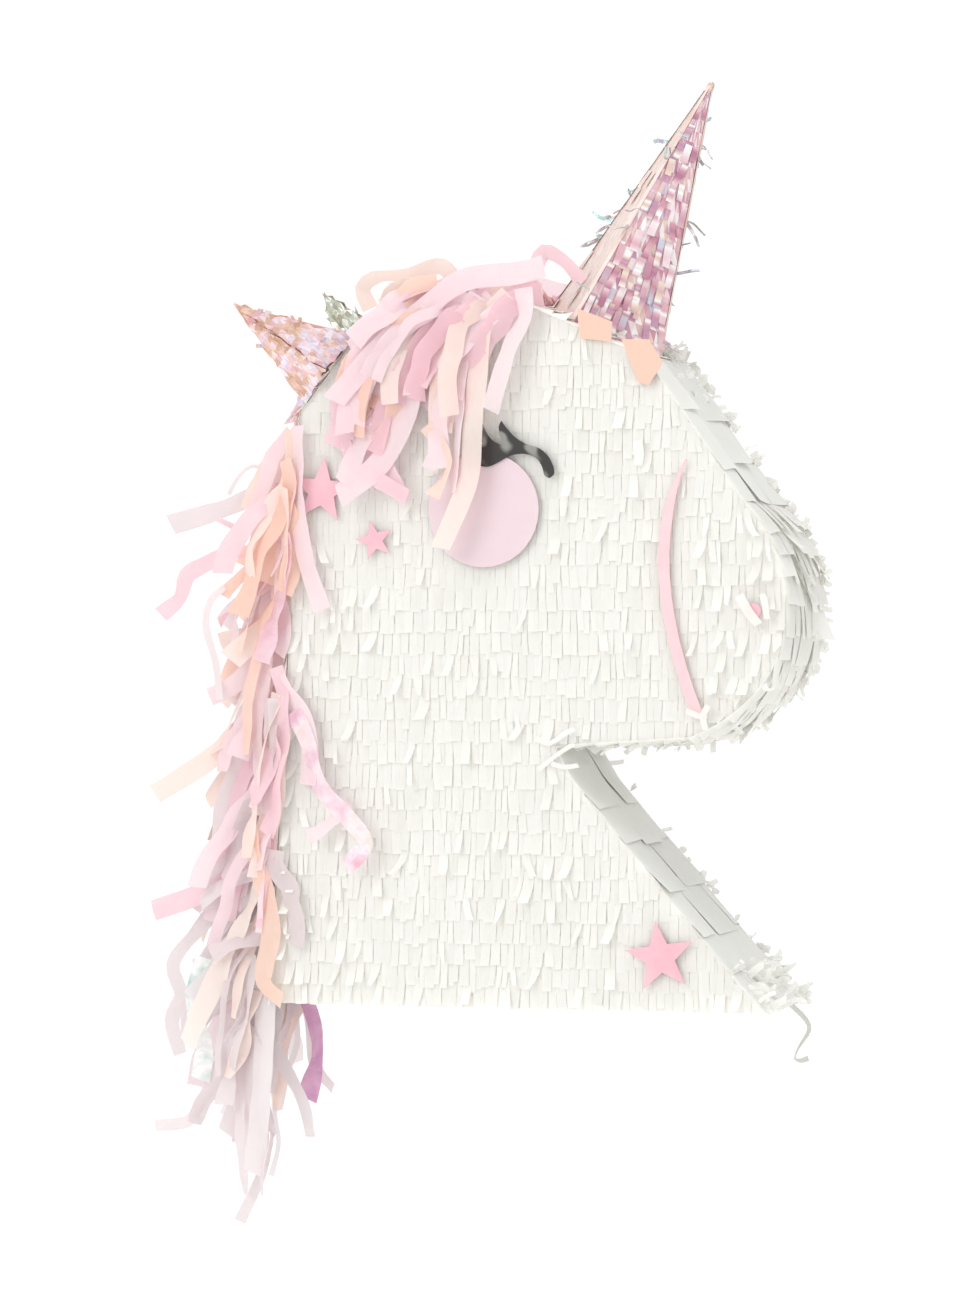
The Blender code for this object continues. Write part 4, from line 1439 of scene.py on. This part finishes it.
    def lay_placed(self) -> None:
        """Lays the streamers that have a place of their own, and the same on the far face with less order."""
        for i, item in enumerate(self.placed):
            seed = 0.37 + 0.618 * i
            rng = random.Random(self.seeds["placed"] + i)
            start, end = item.depth_mm
            last = len(item.route) - 1
            points = []
            for k, share in enumerate(item.route):
                x, z = self.profile.at(share)
                points.append(Vector((x, (start + (end - start) * k / last) * MM, z)))
            lowest = min(p.z for p in points)
            tone = rng.uniform(0.15, 0.55)
            width = item.width_mm * MM
            draft = self.draft(item.lock, item.strip)
            ribbon(draft, points, width, Vector((0, -1, 0)), item.rolls, tone, seed % 1)
            if start < -43 and lowest > self.profile.base - 5 * MM:
                lock = item.lock.replace("near", "far").replace("far_3", "far_2")
                across = [
                    Vector((p.x + rng.gauss(0, 4) * MM, -p.y - 1 * MM, p.z + rng.gauss(0, 5) * MM))
                    for p in points
                ]
                draft = self.draft(lock, item.strip)
                ribbon(draft, across, width, Vector((0, 1, 0)), item.rolls, tone, (seed + 0.3) % 1)

    def fall(
        self,
        rng: random.Random,
        root: Vector,
        angles: tuple[float, float],
        length: float,
        drift: float,
        limit: float,
        floor: float,
    ) -> list[Vector]:
        """Lets one strip fall back and down from its root.

        Args:
            rng: Where its kinks come from.
            root: Where it starts.
            angles: Its lean from upright at its start and end, in radians, back being positive.
            length: Its length.
            drift: How far it moves across the body.
            limit: The furthest back that it may reach.
            floor: The lowest that it may reach.

        Returns:
            Its route.
        """
        points, steps = [root.copy()], 7
        kink = rng.randrange(1, steps) if rng.random() < 0.35 else -1
        turn = 0.0
        for i in range(steps):
            t = i / (steps - 1)
            if i == kink:
                turn = rng.choice((-1, 1)) * rng.uniform(0.4, 1.0)
            angle = angles[0] + (angles[1] - angles[0]) * t**0.7 + turn * (1 - t) + rng.gauss(0, 0.12)
            here = points[-1] + Vector((-math.sin(angle), 0, -math.cos(angle))) * length / steps
            here.y += drift / steps + rng.gauss(0, 1.1) * MM
            if here.x < limit or here.z < floor:
                break
            points.append(here)
        return points

    def lay_nape(self) -> None:
        """Lays the dense curtain down the nape, peach above and pale mauve below."""
        rng = random.Random(self.seeds["nape"])
        reach = self.reach
        for i in range(self.nape_count):
            v = 0.84 - 0.80 * ((i + rng.random()) / self.nape_count) ** 0.92
            x, z = self.profile.at((self.nape_slope * v, v))
            root = Vector((x - rng.uniform(3.5, 7) * MM, rng.uniform(-44, 43) * MM, z))
            pairs = zip(reach, reach[1:])
            back = next(b + (a - b) * (v - low) / (high - low) for (high, a), (low, b) in pairs if v >= low)
            length = rng.uniform(60, 125) * MM * (0.7 if v > 0.74 else 1)
            start = rng.uniform(0.25, 1.25)
            end = rng.choices((rng.uniform(0.05, 0.6), rng.uniform(0.6, 1.15)), (0.7, 0.3))[0]
            limit = self.profile.left - back * self.profile.width * rng.uniform(0.7, 1.0)
            drop = 0.24 if v < 0.2 else 0.10
            floor = self.profile.base - drop * self.profile.height * rng.uniform(0.5, 1)
            points = self.fall(rng, root, (start, end), length, rng.gauss(0, 6) * MM, limit, floor)
            mix = self.upper if v > 0.52 else self.middle if v > 0.27 else self.lower
            self.hang(rng, points, v, mix, 1.0)

    def hang(
        self, rng: random.Random, points: list[Vector], v: float, mix: dict[Strip, float], wide: float
    ) -> None:
        """Adds one strip of the nape's curtain to the lock at its height.

        Args:
            rng: Where its width and rolls come from.
            points: Its route.
            v: The height of its root, as a share.
            mix: What it may be cut from.
            wide: A factor on its width.
        """
        if len(points) < 3:
            return
        lock = self.roots[min(self.roots, key=lambda height: abs(height - v))]
        if lock.startswith("tail"):
            lock = "tail_lock_near" if points[0].y < 0 else "tail_lock_far"
        side = -1 if points[0].y < 8 * MM else 1
        facing = Vector((rng.gauss(-0.4, 0.4), side, rng.gauss(0.1, 0.2))).normalized()
        rolls = [rng.gauss(0, 24) for _ in range(4)]
        width = wide * self.width * rng.choice((0.35, 0.7, 0.9, 1.0, 1.0, 1.1, 1.25))
        draft = self.draft(lock, draw(rng, mix))
        ribbon(draft, points, width, facing, rolls, rng.uniform(0.1, 0.7), rng.random())

    def lay_drape(self) -> None:
        """Lays the steep strips that cover the nape's corner on both faces."""
        rng = random.Random(self.seeds["drape"])
        for i in range(self.drape_count):
            v = 0.80 - 0.58 * rng.random()
            x, z = self.profile.at((self.nape_slope * v, v))
            side = -1 if i % 2 else 1
            root = Vector((x + rng.uniform(-6, 1) * MM, side * rng.uniform(47, 52) * MM, z))
            angles = (rng.uniform(-0.12, 0.3), rng.uniform(-0.1, 0.4))
            floor = self.profile.base - 0.02 * self.profile.height
            points = self.fall(rng, root, angles, rng.uniform(45, 95) * MM, 0, -1, floor)
            points = [Vector((p.x, side * max(abs(p.y), self.drape_depth), p.z)) for p in points]
            self.hang(rng, points, v, self.upper if v > 0.55 else self.middle, 1.0)

    def lay_tail(self) -> None:
        """Lays the pale strips that hang below the base's back corner."""
        rng = random.Random(self.seeds["tail"])
        for _ in range(self.tail_count):
            x, z = self.profile.at((rng.uniform(-0.10, 0.0), rng.uniform(0.0, 0.17)))
            root = Vector((x, rng.uniform(-40, 36) * MM, z))
            angles = (rng.uniform(0.05, 0.5), rng.uniform(-0.22, 0.25))
            floor = self.profile.base - rng.uniform(0.10, 0.30) * self.profile.height
            limit = self.profile.left - 0.22 * self.profile.width
            length, drift = rng.uniform(70, 150) * MM, rng.gauss(0, 5) * MM
            points = self.fall(rng, root, angles, length, drift, limit, floor)
            self.hang(rng, points, 0.08, self.lower, 0.95)

    def ear_edge(self, z: float) -> float:
        """How far back the forelock may reach at one height, which leaves the ears in view."""
        v = (z - self.profile.base) / self.profile.height
        return self.profile.left + (0.13 + 0.40 * max(0.0, v - 0.83)) * self.profile.width

    def lay_faces(self) -> None:
        """Lays the forelock over the top back corner of both faces."""
        for side, lock in ((-1, "forelock_near"), (1, "forelock_far")):
            rng = random.Random(self.seeds["faces"] + side)
            for i in range(self.face_count):
                share = rng.random()
                u = 0.25 + 0.25 * share
                x, z = self.profile.at((u, 1.0))
                layer = 49.6 + 9 * rng.random()
                start = Vector((x + 8 * MM, side * rng.uniform(24, 38) * MM, z + rng.uniform(3, 7) * MM))
                over = Vector((x, side * 46.5 * MM, z + rng.uniform(1, 4) * MM))
                root = Vector((x - 7 * MM, side * layer * MM, z - 5 * MM))
                angles = (rng.uniform(0.7, 1.25), rng.uniform(0.05, 0.45))
                limit = self.profile.left + 0.11 * self.profile.width
                length = rng.uniform(50, 108) * MM
                points = self.fall(rng, root, angles, length, side * 2 * MM, limit, -1)
                points = [Vector((p.x, side * max(abs(p.y), self.face_depth), p.z)) for p in points]
                eye_x, eye_z = self.profile.at((0.375, 0.845))
                points = [p for p in points if (p.x < eye_x or p.z > eye_z) and p.x > self.ear_edge(p.z)]
                if len(points) < 3:
                    continue
                name = f"{lock}_{1 if share < 0.4 else 2}" if side > 0 or share < 0.75 else f"{lock}_3"
                rolls = [rng.gauss(0, 14) for _ in range(3)]
                width = self.width * rng.choice((0.6, 0.9, 1.0, 1.15, 1.3))
                draft = self.draft(name, draw(rng, self.face))
                tone, seed = rng.uniform(0.1, 0.7), rng.random()
                ribbon(draft, [start, over, *points], width, Vector((0, side, 0)), rolls, tone, seed)

    def meets_loop(self, points: Sequence[Vector], width: float) -> bool:
        """Whether a strip would stand where the hanging loop swings.

        Args:
            points: The strip's route.
            width: Its width.

        Returns:
            True if it comes within loop_gap of the loop's sweep.
        """
        low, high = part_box("hanging_loop")
        strap_low, strap_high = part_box("loop_strap")
        pivot, reach = (strap_low + strap_high) / 2, high.z - low.z + self.loop_gap
        middle, half = (low.x + high.x) / 2, (high.x - low.x) / 2 + width / 2 + self.loop_gap
        route = through(points, 3 * MM)
        beside = [p for p in route if abs(p.x - middle) < half]
        return any(math.hypot(p.y - pivot.y, p.z - pivot.z) < reach for p in beside)

    def lay_crown(self) -> None:
        """Lays the loops that arch back over the crown between the ears and the horn."""
        rng = random.Random(self.seeds["crown"])
        for i in range(self.crown_count):
            u = rng.uniform(0.27, 0.50)
            y = rng.uniform(-40, 40) * MM
            rise = rng.uniform(0.012, 0.05)
            back = rng.uniform(0.08, 0.24)
            shares = [(u, 1.012), (u - 0.2 * back, 1.01 + rise), (u - 0.6 * back, 1.005 + rise * 0.9)]
            tail = max(u - back, 0.20)
            shares.append((tail, 1.012 - max(0, 0.26 - tail) * 0.45 + rng.uniform(0, 0.012)))
            points = []
            for k, share in enumerate(shares):
                x, z = self.profile.at(share)
                points.append(Vector((x, y + k * rng.gauss(0, 2.5) * MM, z)))
            if self.meets_loop(points, 1.2 * self.width):
                continue
            lock = "crown_lock_front" if u > 0.40 and back < 0.14 else "crown_lock_back"
            rolls = [rng.gauss(0, 15) for _ in range(3)]
            facing = Vector((0.1, -0.35 if y < 0 else 0.35, 1)).normalized()
            draft = self.draft(lock, draw(rng, self.face if u > 0.36 else self.upper))
            width = self.width * rng.uniform(0.8, 1.2)
            ribbon(draft, points, width, facing, rolls, rng.uniform(0.1, 0.6), rng.random())

    def lay_poll(self) -> None:
        """Lays the strips that fall back between the ears to the top of the nape."""
        rng = random.Random(self.seeds["poll"])
        for _ in range(self.poll_count):
            y = rng.uniform(-30, 30) * MM
            first, last = rng.uniform(0.17, 0.28), rng.uniform(0.02, 0.10)
            points = []
            for k in range(5):
                u = first + (last - first) * k / 4
                if u > Corner.POLL.value[0]:
                    v = min(1.0, Corner.POLL.value[1] + (u - Corner.POLL.value[0]) * 0.42)
                else:
                    v = Corner.NAPE.value[1] + (u - Corner.NAPE.value[0]) * 0.96
                x, z = self.profile.at((u, v))
                lift = (6 + 5 * rng.random() if k else 5) * MM
                points.append(Vector((x - 0.7 * lift, y + k * rng.gauss(0, 2) * MM, z + 0.7 * lift)))
            facing = Vector((-0.7, rng.gauss(0, 0.2), 0.7)).normalized()
            rolls = [rng.gauss(0, 14) for _ in range(3)]
            draft = self.draft("crown_lock_back", draw(rng, self.upper))
            width = self.width * rng.uniform(0.7, 1.2)
            ribbon(draft, points, width, facing, rolls, rng.uniform(0.1, 0.6), rng.random())

    def build(self) -> None:
        """Lays every streamer, and makes one piece for each lock and paper."""
        self.lay_placed()
        self.lay_nape()
        self.lay_drape()
        self.lay_tail()
        self.lay_faces()
        self.lay_crown()
        self.lay_poll()
        order = sorted(self.drafts, key=lambda key: (key[0], key[1].name))
        for lock, strip in order:
            finish, slot = strip.value
            smooth = not isinstance(finish, IridescentFilm)
            name = f"{lock}_{strip.name.lower()}"
            self.drafts[lock, strip].piece(name, finish, slot, stands_for=[lock], smooth=smooth)


@dataclass
class Horn:
    """The horn's film: cut rows on four faces, folded film along the corners, and stray ends."""

    pitch: float = 10 * MM
    strip_width: float = 4.2 * MM
    length: float = 14 * MM
    facet: float = 4.5 * MM
    strays: int = 34
    faces: int = 4
    seam_width: float = 1.9 * MM
    tip_width: float = 3.2 * MM

    def __post_init__(self) -> None:
        """Reads the horn's corners from its packed core."""
        spots = {tuple(round(c, 5) for c in v.co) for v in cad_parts["horn_core"].data.vertices}
        corners = sorted((Vector(s) for s in spots), key=lambda p: -p.z)
        self.apex = corners[0]
        foot = sorted(corners[1:], key=lambda p: -(p - self.apex).length)[:4]
        self.middle = sum(foot, Vector()) / 4
        self.axis = (self.apex - self.middle).normalized()
        across = (foot[0] - self.middle).normalized()
        other = self.axis.cross(across)

        def turn(corner: Vector) -> float:
            """Gives how far round the axis a corner is."""
            spoke = corner - self.middle
            return math.atan2(spoke.dot(other), spoke.dot(across))

        self.foot = sorted(foot, key=turn)

    def outward(self, a: Vector, b: Vector) -> Vector:
        """The way that the face between two foot corners looks."""
        out = (b - a).cross(self.apex - a).normalized()
        return out if out.dot((a + b) / 2 - self.middle) > 0 else -out

    def face_sheet(self, draft: Draft, a: Vector, b: Vector, rng: random.Random, spread: float) -> None:
        """Wraps one face in a crinkled sheet of film.

        Args:
            draft: The mesh that it goes in.
            a: One foot corner.
            b: The next.
            rng: Where its tones come from.
            spread: How far the tones stray from the palette's middle.
        """
        out = self.outward(a, b)
        rows = int(((a + b) / 2 - self.apex).length / (1.4 * self.facet))
        across = max(3, int((a - b).length / self.facet))
        lines = []
        for row in range(rows + 1):
            t = 0.012 + 0.988 * row / rows
            line = [self.apex.lerp(a, t).lerp(self.apex.lerp(b, t), k / across) for k in range(across + 1)]
            lines.append([p + out * (0.7 + 0.4 * noise.noise(p * 260)) * MM for p in line])
        draft.facets(lines, lambda p: 0.5 + spread * (1.3 * noise.noise(p * 150) + rng.uniform(-0.25, 0.25)))

    def face_rows(
        self, draft: Draft, a: Vector, b: Vector, rng: random.Random, wild: float, skip: float
    ) -> None:
        """Hangs film strips in rows on one face.

        Args:
            draft: The mesh that they go in.
            a: One foot corner.
            b: The next.
            rng: Where their shapes come from.
            wild: The share of strips that stand off.
            skip: The share of strips that are torn away.
        """
        out = self.outward(a, b)
        slant = ((a + b) / 2 - self.apex).length
        rows = int(slant / self.pitch)
        for row in range(rows):
            t = (row + 0.35) / rows
            left, right = self.apex.lerp(a, t), self.apex.lerp(b, t)
            down = ((a + b) / 2 - self.apex).normalized()
            count = max(2, round((right - left).length / self.strip_width))
            for k in range(count):
                share = (k + 0.5) / count
                root = left.lerp(right, share)
                width = (right - left) / count * rng.uniform(0.75, 1.05)
                length = self.length * rng.uniform(0.75, 1.1) * min(1, 0.45 + t)
                length = min(length, (1 - t) * slant + 2 * MM)
                fan = (down + (right - left).normalized() * (share - 0.5) * 0.3).normalized()
                if rng.random() < skip:
                    continue
                bend = rng.uniform(0.4, 1.0) if rng.random() < wild else abs(rng.gauss(0.03, 0.03))
                twist, sway, tone = rng.gauss(0, 0.08), rng.gauss(0, 0.08), rng.random()
                lines, tones, spot, lift = [], [], root.copy(), (1.1 + 0.4 * rng.random()) * MM
                for i in range(4):
                    if i:
                        angle = 0.02 + bend * (i / 3) ** 1.5
                        ahead = fan * math.cos(angle) * length / 3
                        spot = spot + ahead + width.normalized() * sway * length / 3
                        lift += math.sin(angle) * length / 3
                    tilt = out * twist * width.length * i / 3
                    raised = spot + out * lift
                    lines.append([raised - width / 2 - tilt, raised + width / 2 + tilt])
                    tones.append(min(1, max(0, tone + rng.gauss(0, 0.12))))
                draft.grid(lines, tones, rng.random())

    def build_films(self) -> None:
        """Covers the four faces, each film picked by its turn to the camera; the darker right one is painted
        shade.
        """
        # the way towards the camera, which picks each face's film
        view = Vector((0.29, -0.96, 0))
        sides = []
        for i in range(self.faces):
            a, b = self.foot[i], self.foot[(i + 1) % self.faces]
            out = ((a + b) / 2 - self.middle).normalized()
            sides.append((out, a, b))
        sides.sort(key=lambda side: -side[0].dot(view))
        front, rest = sides[0], sides[1:]
        left = min(rest, key=lambda side: side[0].x)
        for i, (out, a, b) in enumerate(sides):
            is_front, is_left = out is front[0], out is left[0]
            if is_left:
                finish = HORN_SIDE_FILM
            # the faces turned to the camera and away from it take the magenta film with its painted glints
            elif is_front or i == self.faces - 1:
                finish = HORN_FRONT_FILM
            else:
                # the remaining face, on the right, takes the darker copy: painted shade
                finish = HORN_SHADED_FILM
            draft = Draft()
            rng = random.Random(60 + i)
            self.face_sheet(draft, a, b, rng, 0.7 if is_front else 0.35)
            self.face_rows(draft, a, b, rng, 0.03 if is_left else 0.07, 0.86 if is_left else 0.35)
            stands = ["horn_film"] if is_front else []
            draft.piece(f"horn_film_rows_{i + 1}", finish, "iridescent_film", stands_for=stands, smooth=False)

    def build_seams(self) -> None:
        """Adds the folded film along each corner, and the twist of film on the tip."""
        draft = Draft()
        for i, corner in enumerate(self.foot):
            out = (corner - self.middle).normalized() * 1.1 * MM
            points = [self.apex.lerp(corner, t) + out for t in (0.02, 0.3, 0.6, 1.0)]
            ribbon(draft, points, self.seam_width, out.normalized(), (0, 0), 0.9, 0.2 * i, (0.6, 1.0))
        tip = self.apex - self.axis * 5 * MM
        for turn in range(self.faces):
            side = (self.foot[turn] - self.middle).normalized()
            points = [
                tip + side * 1.6 * MM,
                tip + self.axis * 4 * MM + side * 1.0 * MM,
                self.apex + self.axis * 0.8 * MM,
            ]
            ribbon(draft, points, self.tip_width, side, (0, 10), 0.3 * turn, 0.11 * turn, (1.0, 0.4))
        draft.piece("horn_seam_film", HORN_SIDE_FILM, "iridescent_film", smooth=False)

    def build_strays(self) -> None:
        """Adds the loose ends of film that stick out from the corners."""
        rng, draft = random.Random(64), Draft()
        for _ in range(self.strays):
            corner = self.foot[rng.randrange(4)]
            t = rng.uniform(0.12, 0.97)
            out = (corner - self.middle).normalized()
            start = self.apex.lerp(corner, t) + out * 0.6 * MM
            side = self.axis.cross(out)
            reach = rng.uniform(5, 17) * MM
            lean = rng.uniform(-0.9, 0.8)
            points = [start]
            for k in range(3):
                way = out * rng.uniform(0.6, 1.0) + self.axis * (lean + rng.gauss(0, 0.25))
                way = way + side * rng.gauss(0, 0.4)
                points.append(points[-1] + way.normalized() * reach / 3)
            facing = Vector((rng.gauss(0, 0.3), -1, rng.gauss(0, 0.3)))
            rolls = (rng.uniform(-30, 30), rng.uniform(-50, 50))
            width = rng.uniform(0.8, 2.4) * MM
            ribbon(draft, points, width, facing, rolls, rng.random(), rng.random(), (1.0, 0.9))
        draft.piece("horn_stray_film", STRAY_FILM, "iridescent_film", smooth=False)

    def build(self) -> None:
        """Builds the horn's film."""
        self.build_films()
        self.build_seams()
        self.build_strays()


@dataclass
class Ear:
    """The crinkled film on one ear's outer side, and its loose ends."""

    word: str
    finish: IridescentFilm
    cells: int = 18
    crinkle: float = 1.3 * MM
    slide_mm: float = 2.2
    loose_ends: int = 16
    least_leaf: float = 2e-4

    def build(self) -> None:
        """Crinkles the film over both sides of the folded ear, and adds its loose ends."""
        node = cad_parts[f"ear_{self.word}_film"].data
        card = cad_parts[f"ear_{self.word}_card"].data
        low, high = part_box(f"ear_{self.word}_card")
        film_low, film_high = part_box(f"ear_{self.word}_film")
        outward = (film_low + film_high - low - high).normalized()
        noise.seed_set(len(self.word))  # noise_vector is seeded from the clock unless it is told
        draft, rng = Draft(), random.Random(len(self.word))
        least = self.least_leaf
        leaves = [(node, p) for p in node.polygons if p.normal.dot(outward) > 0.5 and p.area > least]
        inner = [(card, p) for p in card.polygons if p.normal.dot(outward) < -0.5 and p.area > least]

        def tone(p: Vector) -> float:
            """Gives one facet's tone, which rises towards the nose."""
            across = 0.9 * (p.x - low.x) / (high.x - low.x)
            return across + 1.0 * noise.noise(p * 230) + rng.uniform(-0.12, 0.12)

        for mesh, polygon in leaves + inner:
            corners = [mesh.vertices[i].co.copy() for i in polygon.vertices]
            tip, left, right = sorted(corners, key=lambda p: -p.z)
            if left.x > right.x:
                left, right = right, left
            out = polygon.normal.copy()
            lines = []
            for row in range(self.cells + 1):
                start, end = tip.lerp(left, row / self.cells), tip.lerp(right, row / self.cells)
                line = [start.lerp(end, k / max(row, 1)) for k in range(row + 1)]
                slide = [noise.noise_vector(p * 900) * self.slide_mm * MM for p in line]
                slide = [move - out * move.dot(out) for move in slide]
                rise = [(0.8 + 1.1 * noise.noise(p * 240)) * self.crinkle for p in line]
                lines.append([p + move + out * lift for p, move, lift in zip(line, slide, rise)])
            draft.facets(lines, tone)
        for _ in range(self.loose_ends):
            mesh, polygon = leaves[rng.randrange(len(leaves))]
            corners = sorted((mesh.vertices[i].co for i in polygon.vertices), key=lambda p: -p.z)
            start = corners[0].lerp(corners[rng.choice((1, 2))], rng.uniform(0.15, 0.95))
            way = (start - polygon.center).normalized() + polygon.normal * rng.uniform(0.1, 0.8)
            way = (way + Vector((0, 0, -0.3))).normalized()
            points = [start, start + way * rng.uniform(2, 3) * MM, start + way * rng.uniform(4, 7) * MM]
            width, rolls = rng.uniform(1.5, 4) * MM, (0, rng.uniform(-50, 50))
            ribbon(draft, points, width, polygon.normal, rolls, rng.random(), rng.random())
        name, stands = f"ear_{self.word}_crinkled_film", [f"ear_{self.word}_film"]
        draft.piece(name, self.finish, "iridescent_film", stands_for=stands, smooth=False)


@dataclass
class Eyelid:
    """The closed eyelid and its lashes in black foil, smoothly cut, on both faces."""

    profile: HeadProfile
    middle: Share = (0.490, 0.787)
    thickness: float = 0.7 * MM
    outline_mm: tuple[tuple[float, float], ...] = (
        (18.1, -13.8), (20.6, -11.9), (20.7, -8.8), (17.5, -2.0), (12.4, 2.4), (5.9, 4.4), (-0.5, 8.1),
        (-5.0, 12.5), (-8.9, 17.5), (-10.2, 13.8), (-9.2, 8.9), (-7.3, 4.4), (-12.1, 5.8), (-16.6, 10.2),
        (-19.2, 15.7), (-20.2, 10.2), (-19.4, 5.1), (-24.7, 4.6), (-30.2, 8.2), (-29.0, 2.2), (-24.5, -4.0),
        (-20.2, -6.8), (-16.0, -7.2), (-10.2, -4.8), (-4.3, -1.7), (2.1, -0.5), (7.2, -1.3), (11.7, -3.8),
        (14.3, -8.1), (15.5, -12.3),
    )
    tips: tuple[int, ...] = (8, 11, 14, 16, 18)

    def build(self) -> None:
        """Cuts the eyelid for each face."""
        x, z = self.profile.at(self.middle)
        ring = [Vector((x + a * MM, 0, z + b * MM)) for a, b in self.outline_mm]
        marks = [0, *self.tips, len(ring)]
        outline: list[Vector] = []
        for start, end in zip(marks, marks[1:]):
            part = [ring[i % len(ring)] for i in range(start, end + 1)]
            outline += through(part, 1.5 * MM)[:-1] if len(part) > 2 else part[:-1]
        for word, side in (("near", -1), ("far", 1)):
            low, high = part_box(f"eyelid_{word}")
            inner = low.y if side > 0 else high.y
            draft, count = Draft(), len(outline)
            for depth in (0.0, self.thickness):
                for point in outline:
                    lift = 0.25 * MM * noise.noise(point * 90)
                    draft.points.append(Vector((point.x, inner + side * (depth + max(0, lift)), point.z)))
                    draft.tones.append(0.0)
                    draft.grains.append((point.x / MM, point.z / MM, 3.0))
            draft.faces = [(i, (i + 1) % count, count + (i + 1) % count, count + i) for i in range(count)]
            draft.faces += [tuple(range(count)), tuple(range(count, 2 * count))]
            stands = [f"eyelid_{word}"]
            draft.piece(f"eyelid_foil_{word}", LASH_FOIL, "black_foil", stands_for=stands, smooth=False)


@dataclass
class Card:
    """The card body, its cut-outs, strap and wire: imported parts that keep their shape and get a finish."""

    finishes: dict[str, Finish] = field(
        default_factory=lambda: {
            "panel": WHITE_CARD, "strip": WHITE_CARD, "fill_flap": WHITE_CARD, "horn_core": PEACH_CARD,
            "horn_tab": PEACH_CARD, "card": PEACH_CARD, "stiffener": PEACH_CARD, "star": PINK_PAPER,
            "nostril": PINK_PAPER, "halter": HALTER_PAPER, "cheek": CHEEK_PAPER,
            "hanging_loop": DrawnSteel("galvanised_steel_wire"),
            "loop_strap": WovenWebbing("woven_polyester_webbing"),
        }
    )

    def build(self) -> None:
        """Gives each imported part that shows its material."""
        for name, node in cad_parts.items():
            if node.hide_render:
                continue
            found = next((finish for word, finish in self.finishes.items() if word in name), None)
            if found is None:
                raise ValueError(f"no finish for {name}")
            for place in node.material_slots:
                place.material = found.material()
            log.info("%s: packed part in %s", name, found.name)


@dataclass(frozen=True)
class Lamp:
    """One square area lamp, aimed at the object."""

    name: str
    place: tuple[float, float, float]
    size: float
    power: float


@dataclass
class Studio:
    """A plain white floor and surround, soft light from the front left and above, and the camera."""

    azimuth: float = 16.7
    distance: float = 2.5
    look_at: tuple[float, float, float] = (0.0, 0.0, -0.2058)
    lens: float = 125.2
    floor_gap: float = 0.06
    floor_size: float = 30.0
    ambient: float = 0.81
    seen_white: float = 1.05
    sensor: float = 36.0
    lamps: tuple[Lamp, ...] = (
        Lamp("key_light", (-1.4, -2.6, 1.3), 1.8, 27.0),
        Lamp("top_light", (0.3, -0.5, 2.3), 1.8, 19.0),
    )

    def build_floor(self, lowest: float) -> None:
        """Lays the floor below the lowest streamer.

        Args:
            lowest: The height of the object's lowest point.
        """
        mesh = bpy.data.meshes.new("floor")
        size, level = self.floor_size, lowest - self.floor_gap
        corners = [(-size, -size, level), (size, -size, level), (size, size, level), (-size, size, level)]
        mesh.from_pydata(corners, [], [(0, 1, 2, 3)])
        floor = bpy.data.objects.new("floor", mesh)
        bpy.context.scene.collection.objects.link(floor)
        mesh.materials.append(FloorPaint("matt_white_floor").material())
        floor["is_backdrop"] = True

    def build_light(self) -> None:
        """Sets a surround that looks plain white and lights a little less, and the lamps."""
        world = bpy.data.worlds.new("white_surround")
        bpy.context.scene.world = world
        world.use_nodes = True
        tree = world.node_tree
        tree.nodes.clear()
        seen = add(tree, "ShaderNodeLightPath").outputs["Is Camera Ray"]
        dim, full = (
            add(tree, "ShaderNodeBackground", {"Color": WHITE, "Strength": strength}).outputs[0]
            for strength in (self.ambient, self.seen_white)
        )
        both = add(tree, "ShaderNodeMixShader", {0: seen, 1: dim, 2: full}).outputs[0]
        add(tree, "ShaderNodeOutputWorld", {"Surface": both})
        for lamp in self.lamps:
            data = bpy.data.lights.new(lamp.name, "AREA")
            data.shape = "SQUARE"
            data.size = lamp.size
            data.energy = lamp.power
            light = bpy.data.objects.new(lamp.name, data)
            light.location = lamp.place
            light.rotation_euler = (Vector(self.look_at) - light.location).to_track_quat("-Z", "Y").to_euler()
            bpy.context.scene.collection.objects.link(light)

    def build_camera(self) -> None:
        """Sets the camera level with the head's middle, a little towards the nose side."""
        turn = math.radians(self.azimuth)
        away = Vector((math.sin(turn), -math.cos(turn), 0))
        data = bpy.data.cameras.new("camera")
        data.lens = self.lens
        data.sensor_width = self.sensor
        data.sensor_fit = "AUTO"
        camera = bpy.data.objects.new("camera", data)
        camera.location = Vector(self.look_at) + away * self.distance
        camera.rotation_euler = (-away).to_track_quat("-Z", "Y").to_euler()
        bpy.context.scene.collection.objects.link(camera)
        bpy.context.scene.camera = camera

    def build(self) -> None:
        """Builds the studio."""
        self.build_camera()
        self.build_floor(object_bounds()[0].z)
        self.build_light()
        bpy.context.scene.view_settings.view_transform = "Standard"
        bpy.context.scene.view_settings.look = "None"


def main() -> None:
    logging.basicConfig(level=logging.INFO, format="%(message)s")
    profile = HeadProfile(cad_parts["front_panel"])
    TissueCover(profile).build()
    Mane(profile).build()
    Horn().build()
    Ear("near", EAR_FILM).build()
    Ear("far", FAR_EAR_FILM).build()
    Eyelid(profile).build()
    Card().build()
    Studio().build()


if __name__ == "__main__":
    main()
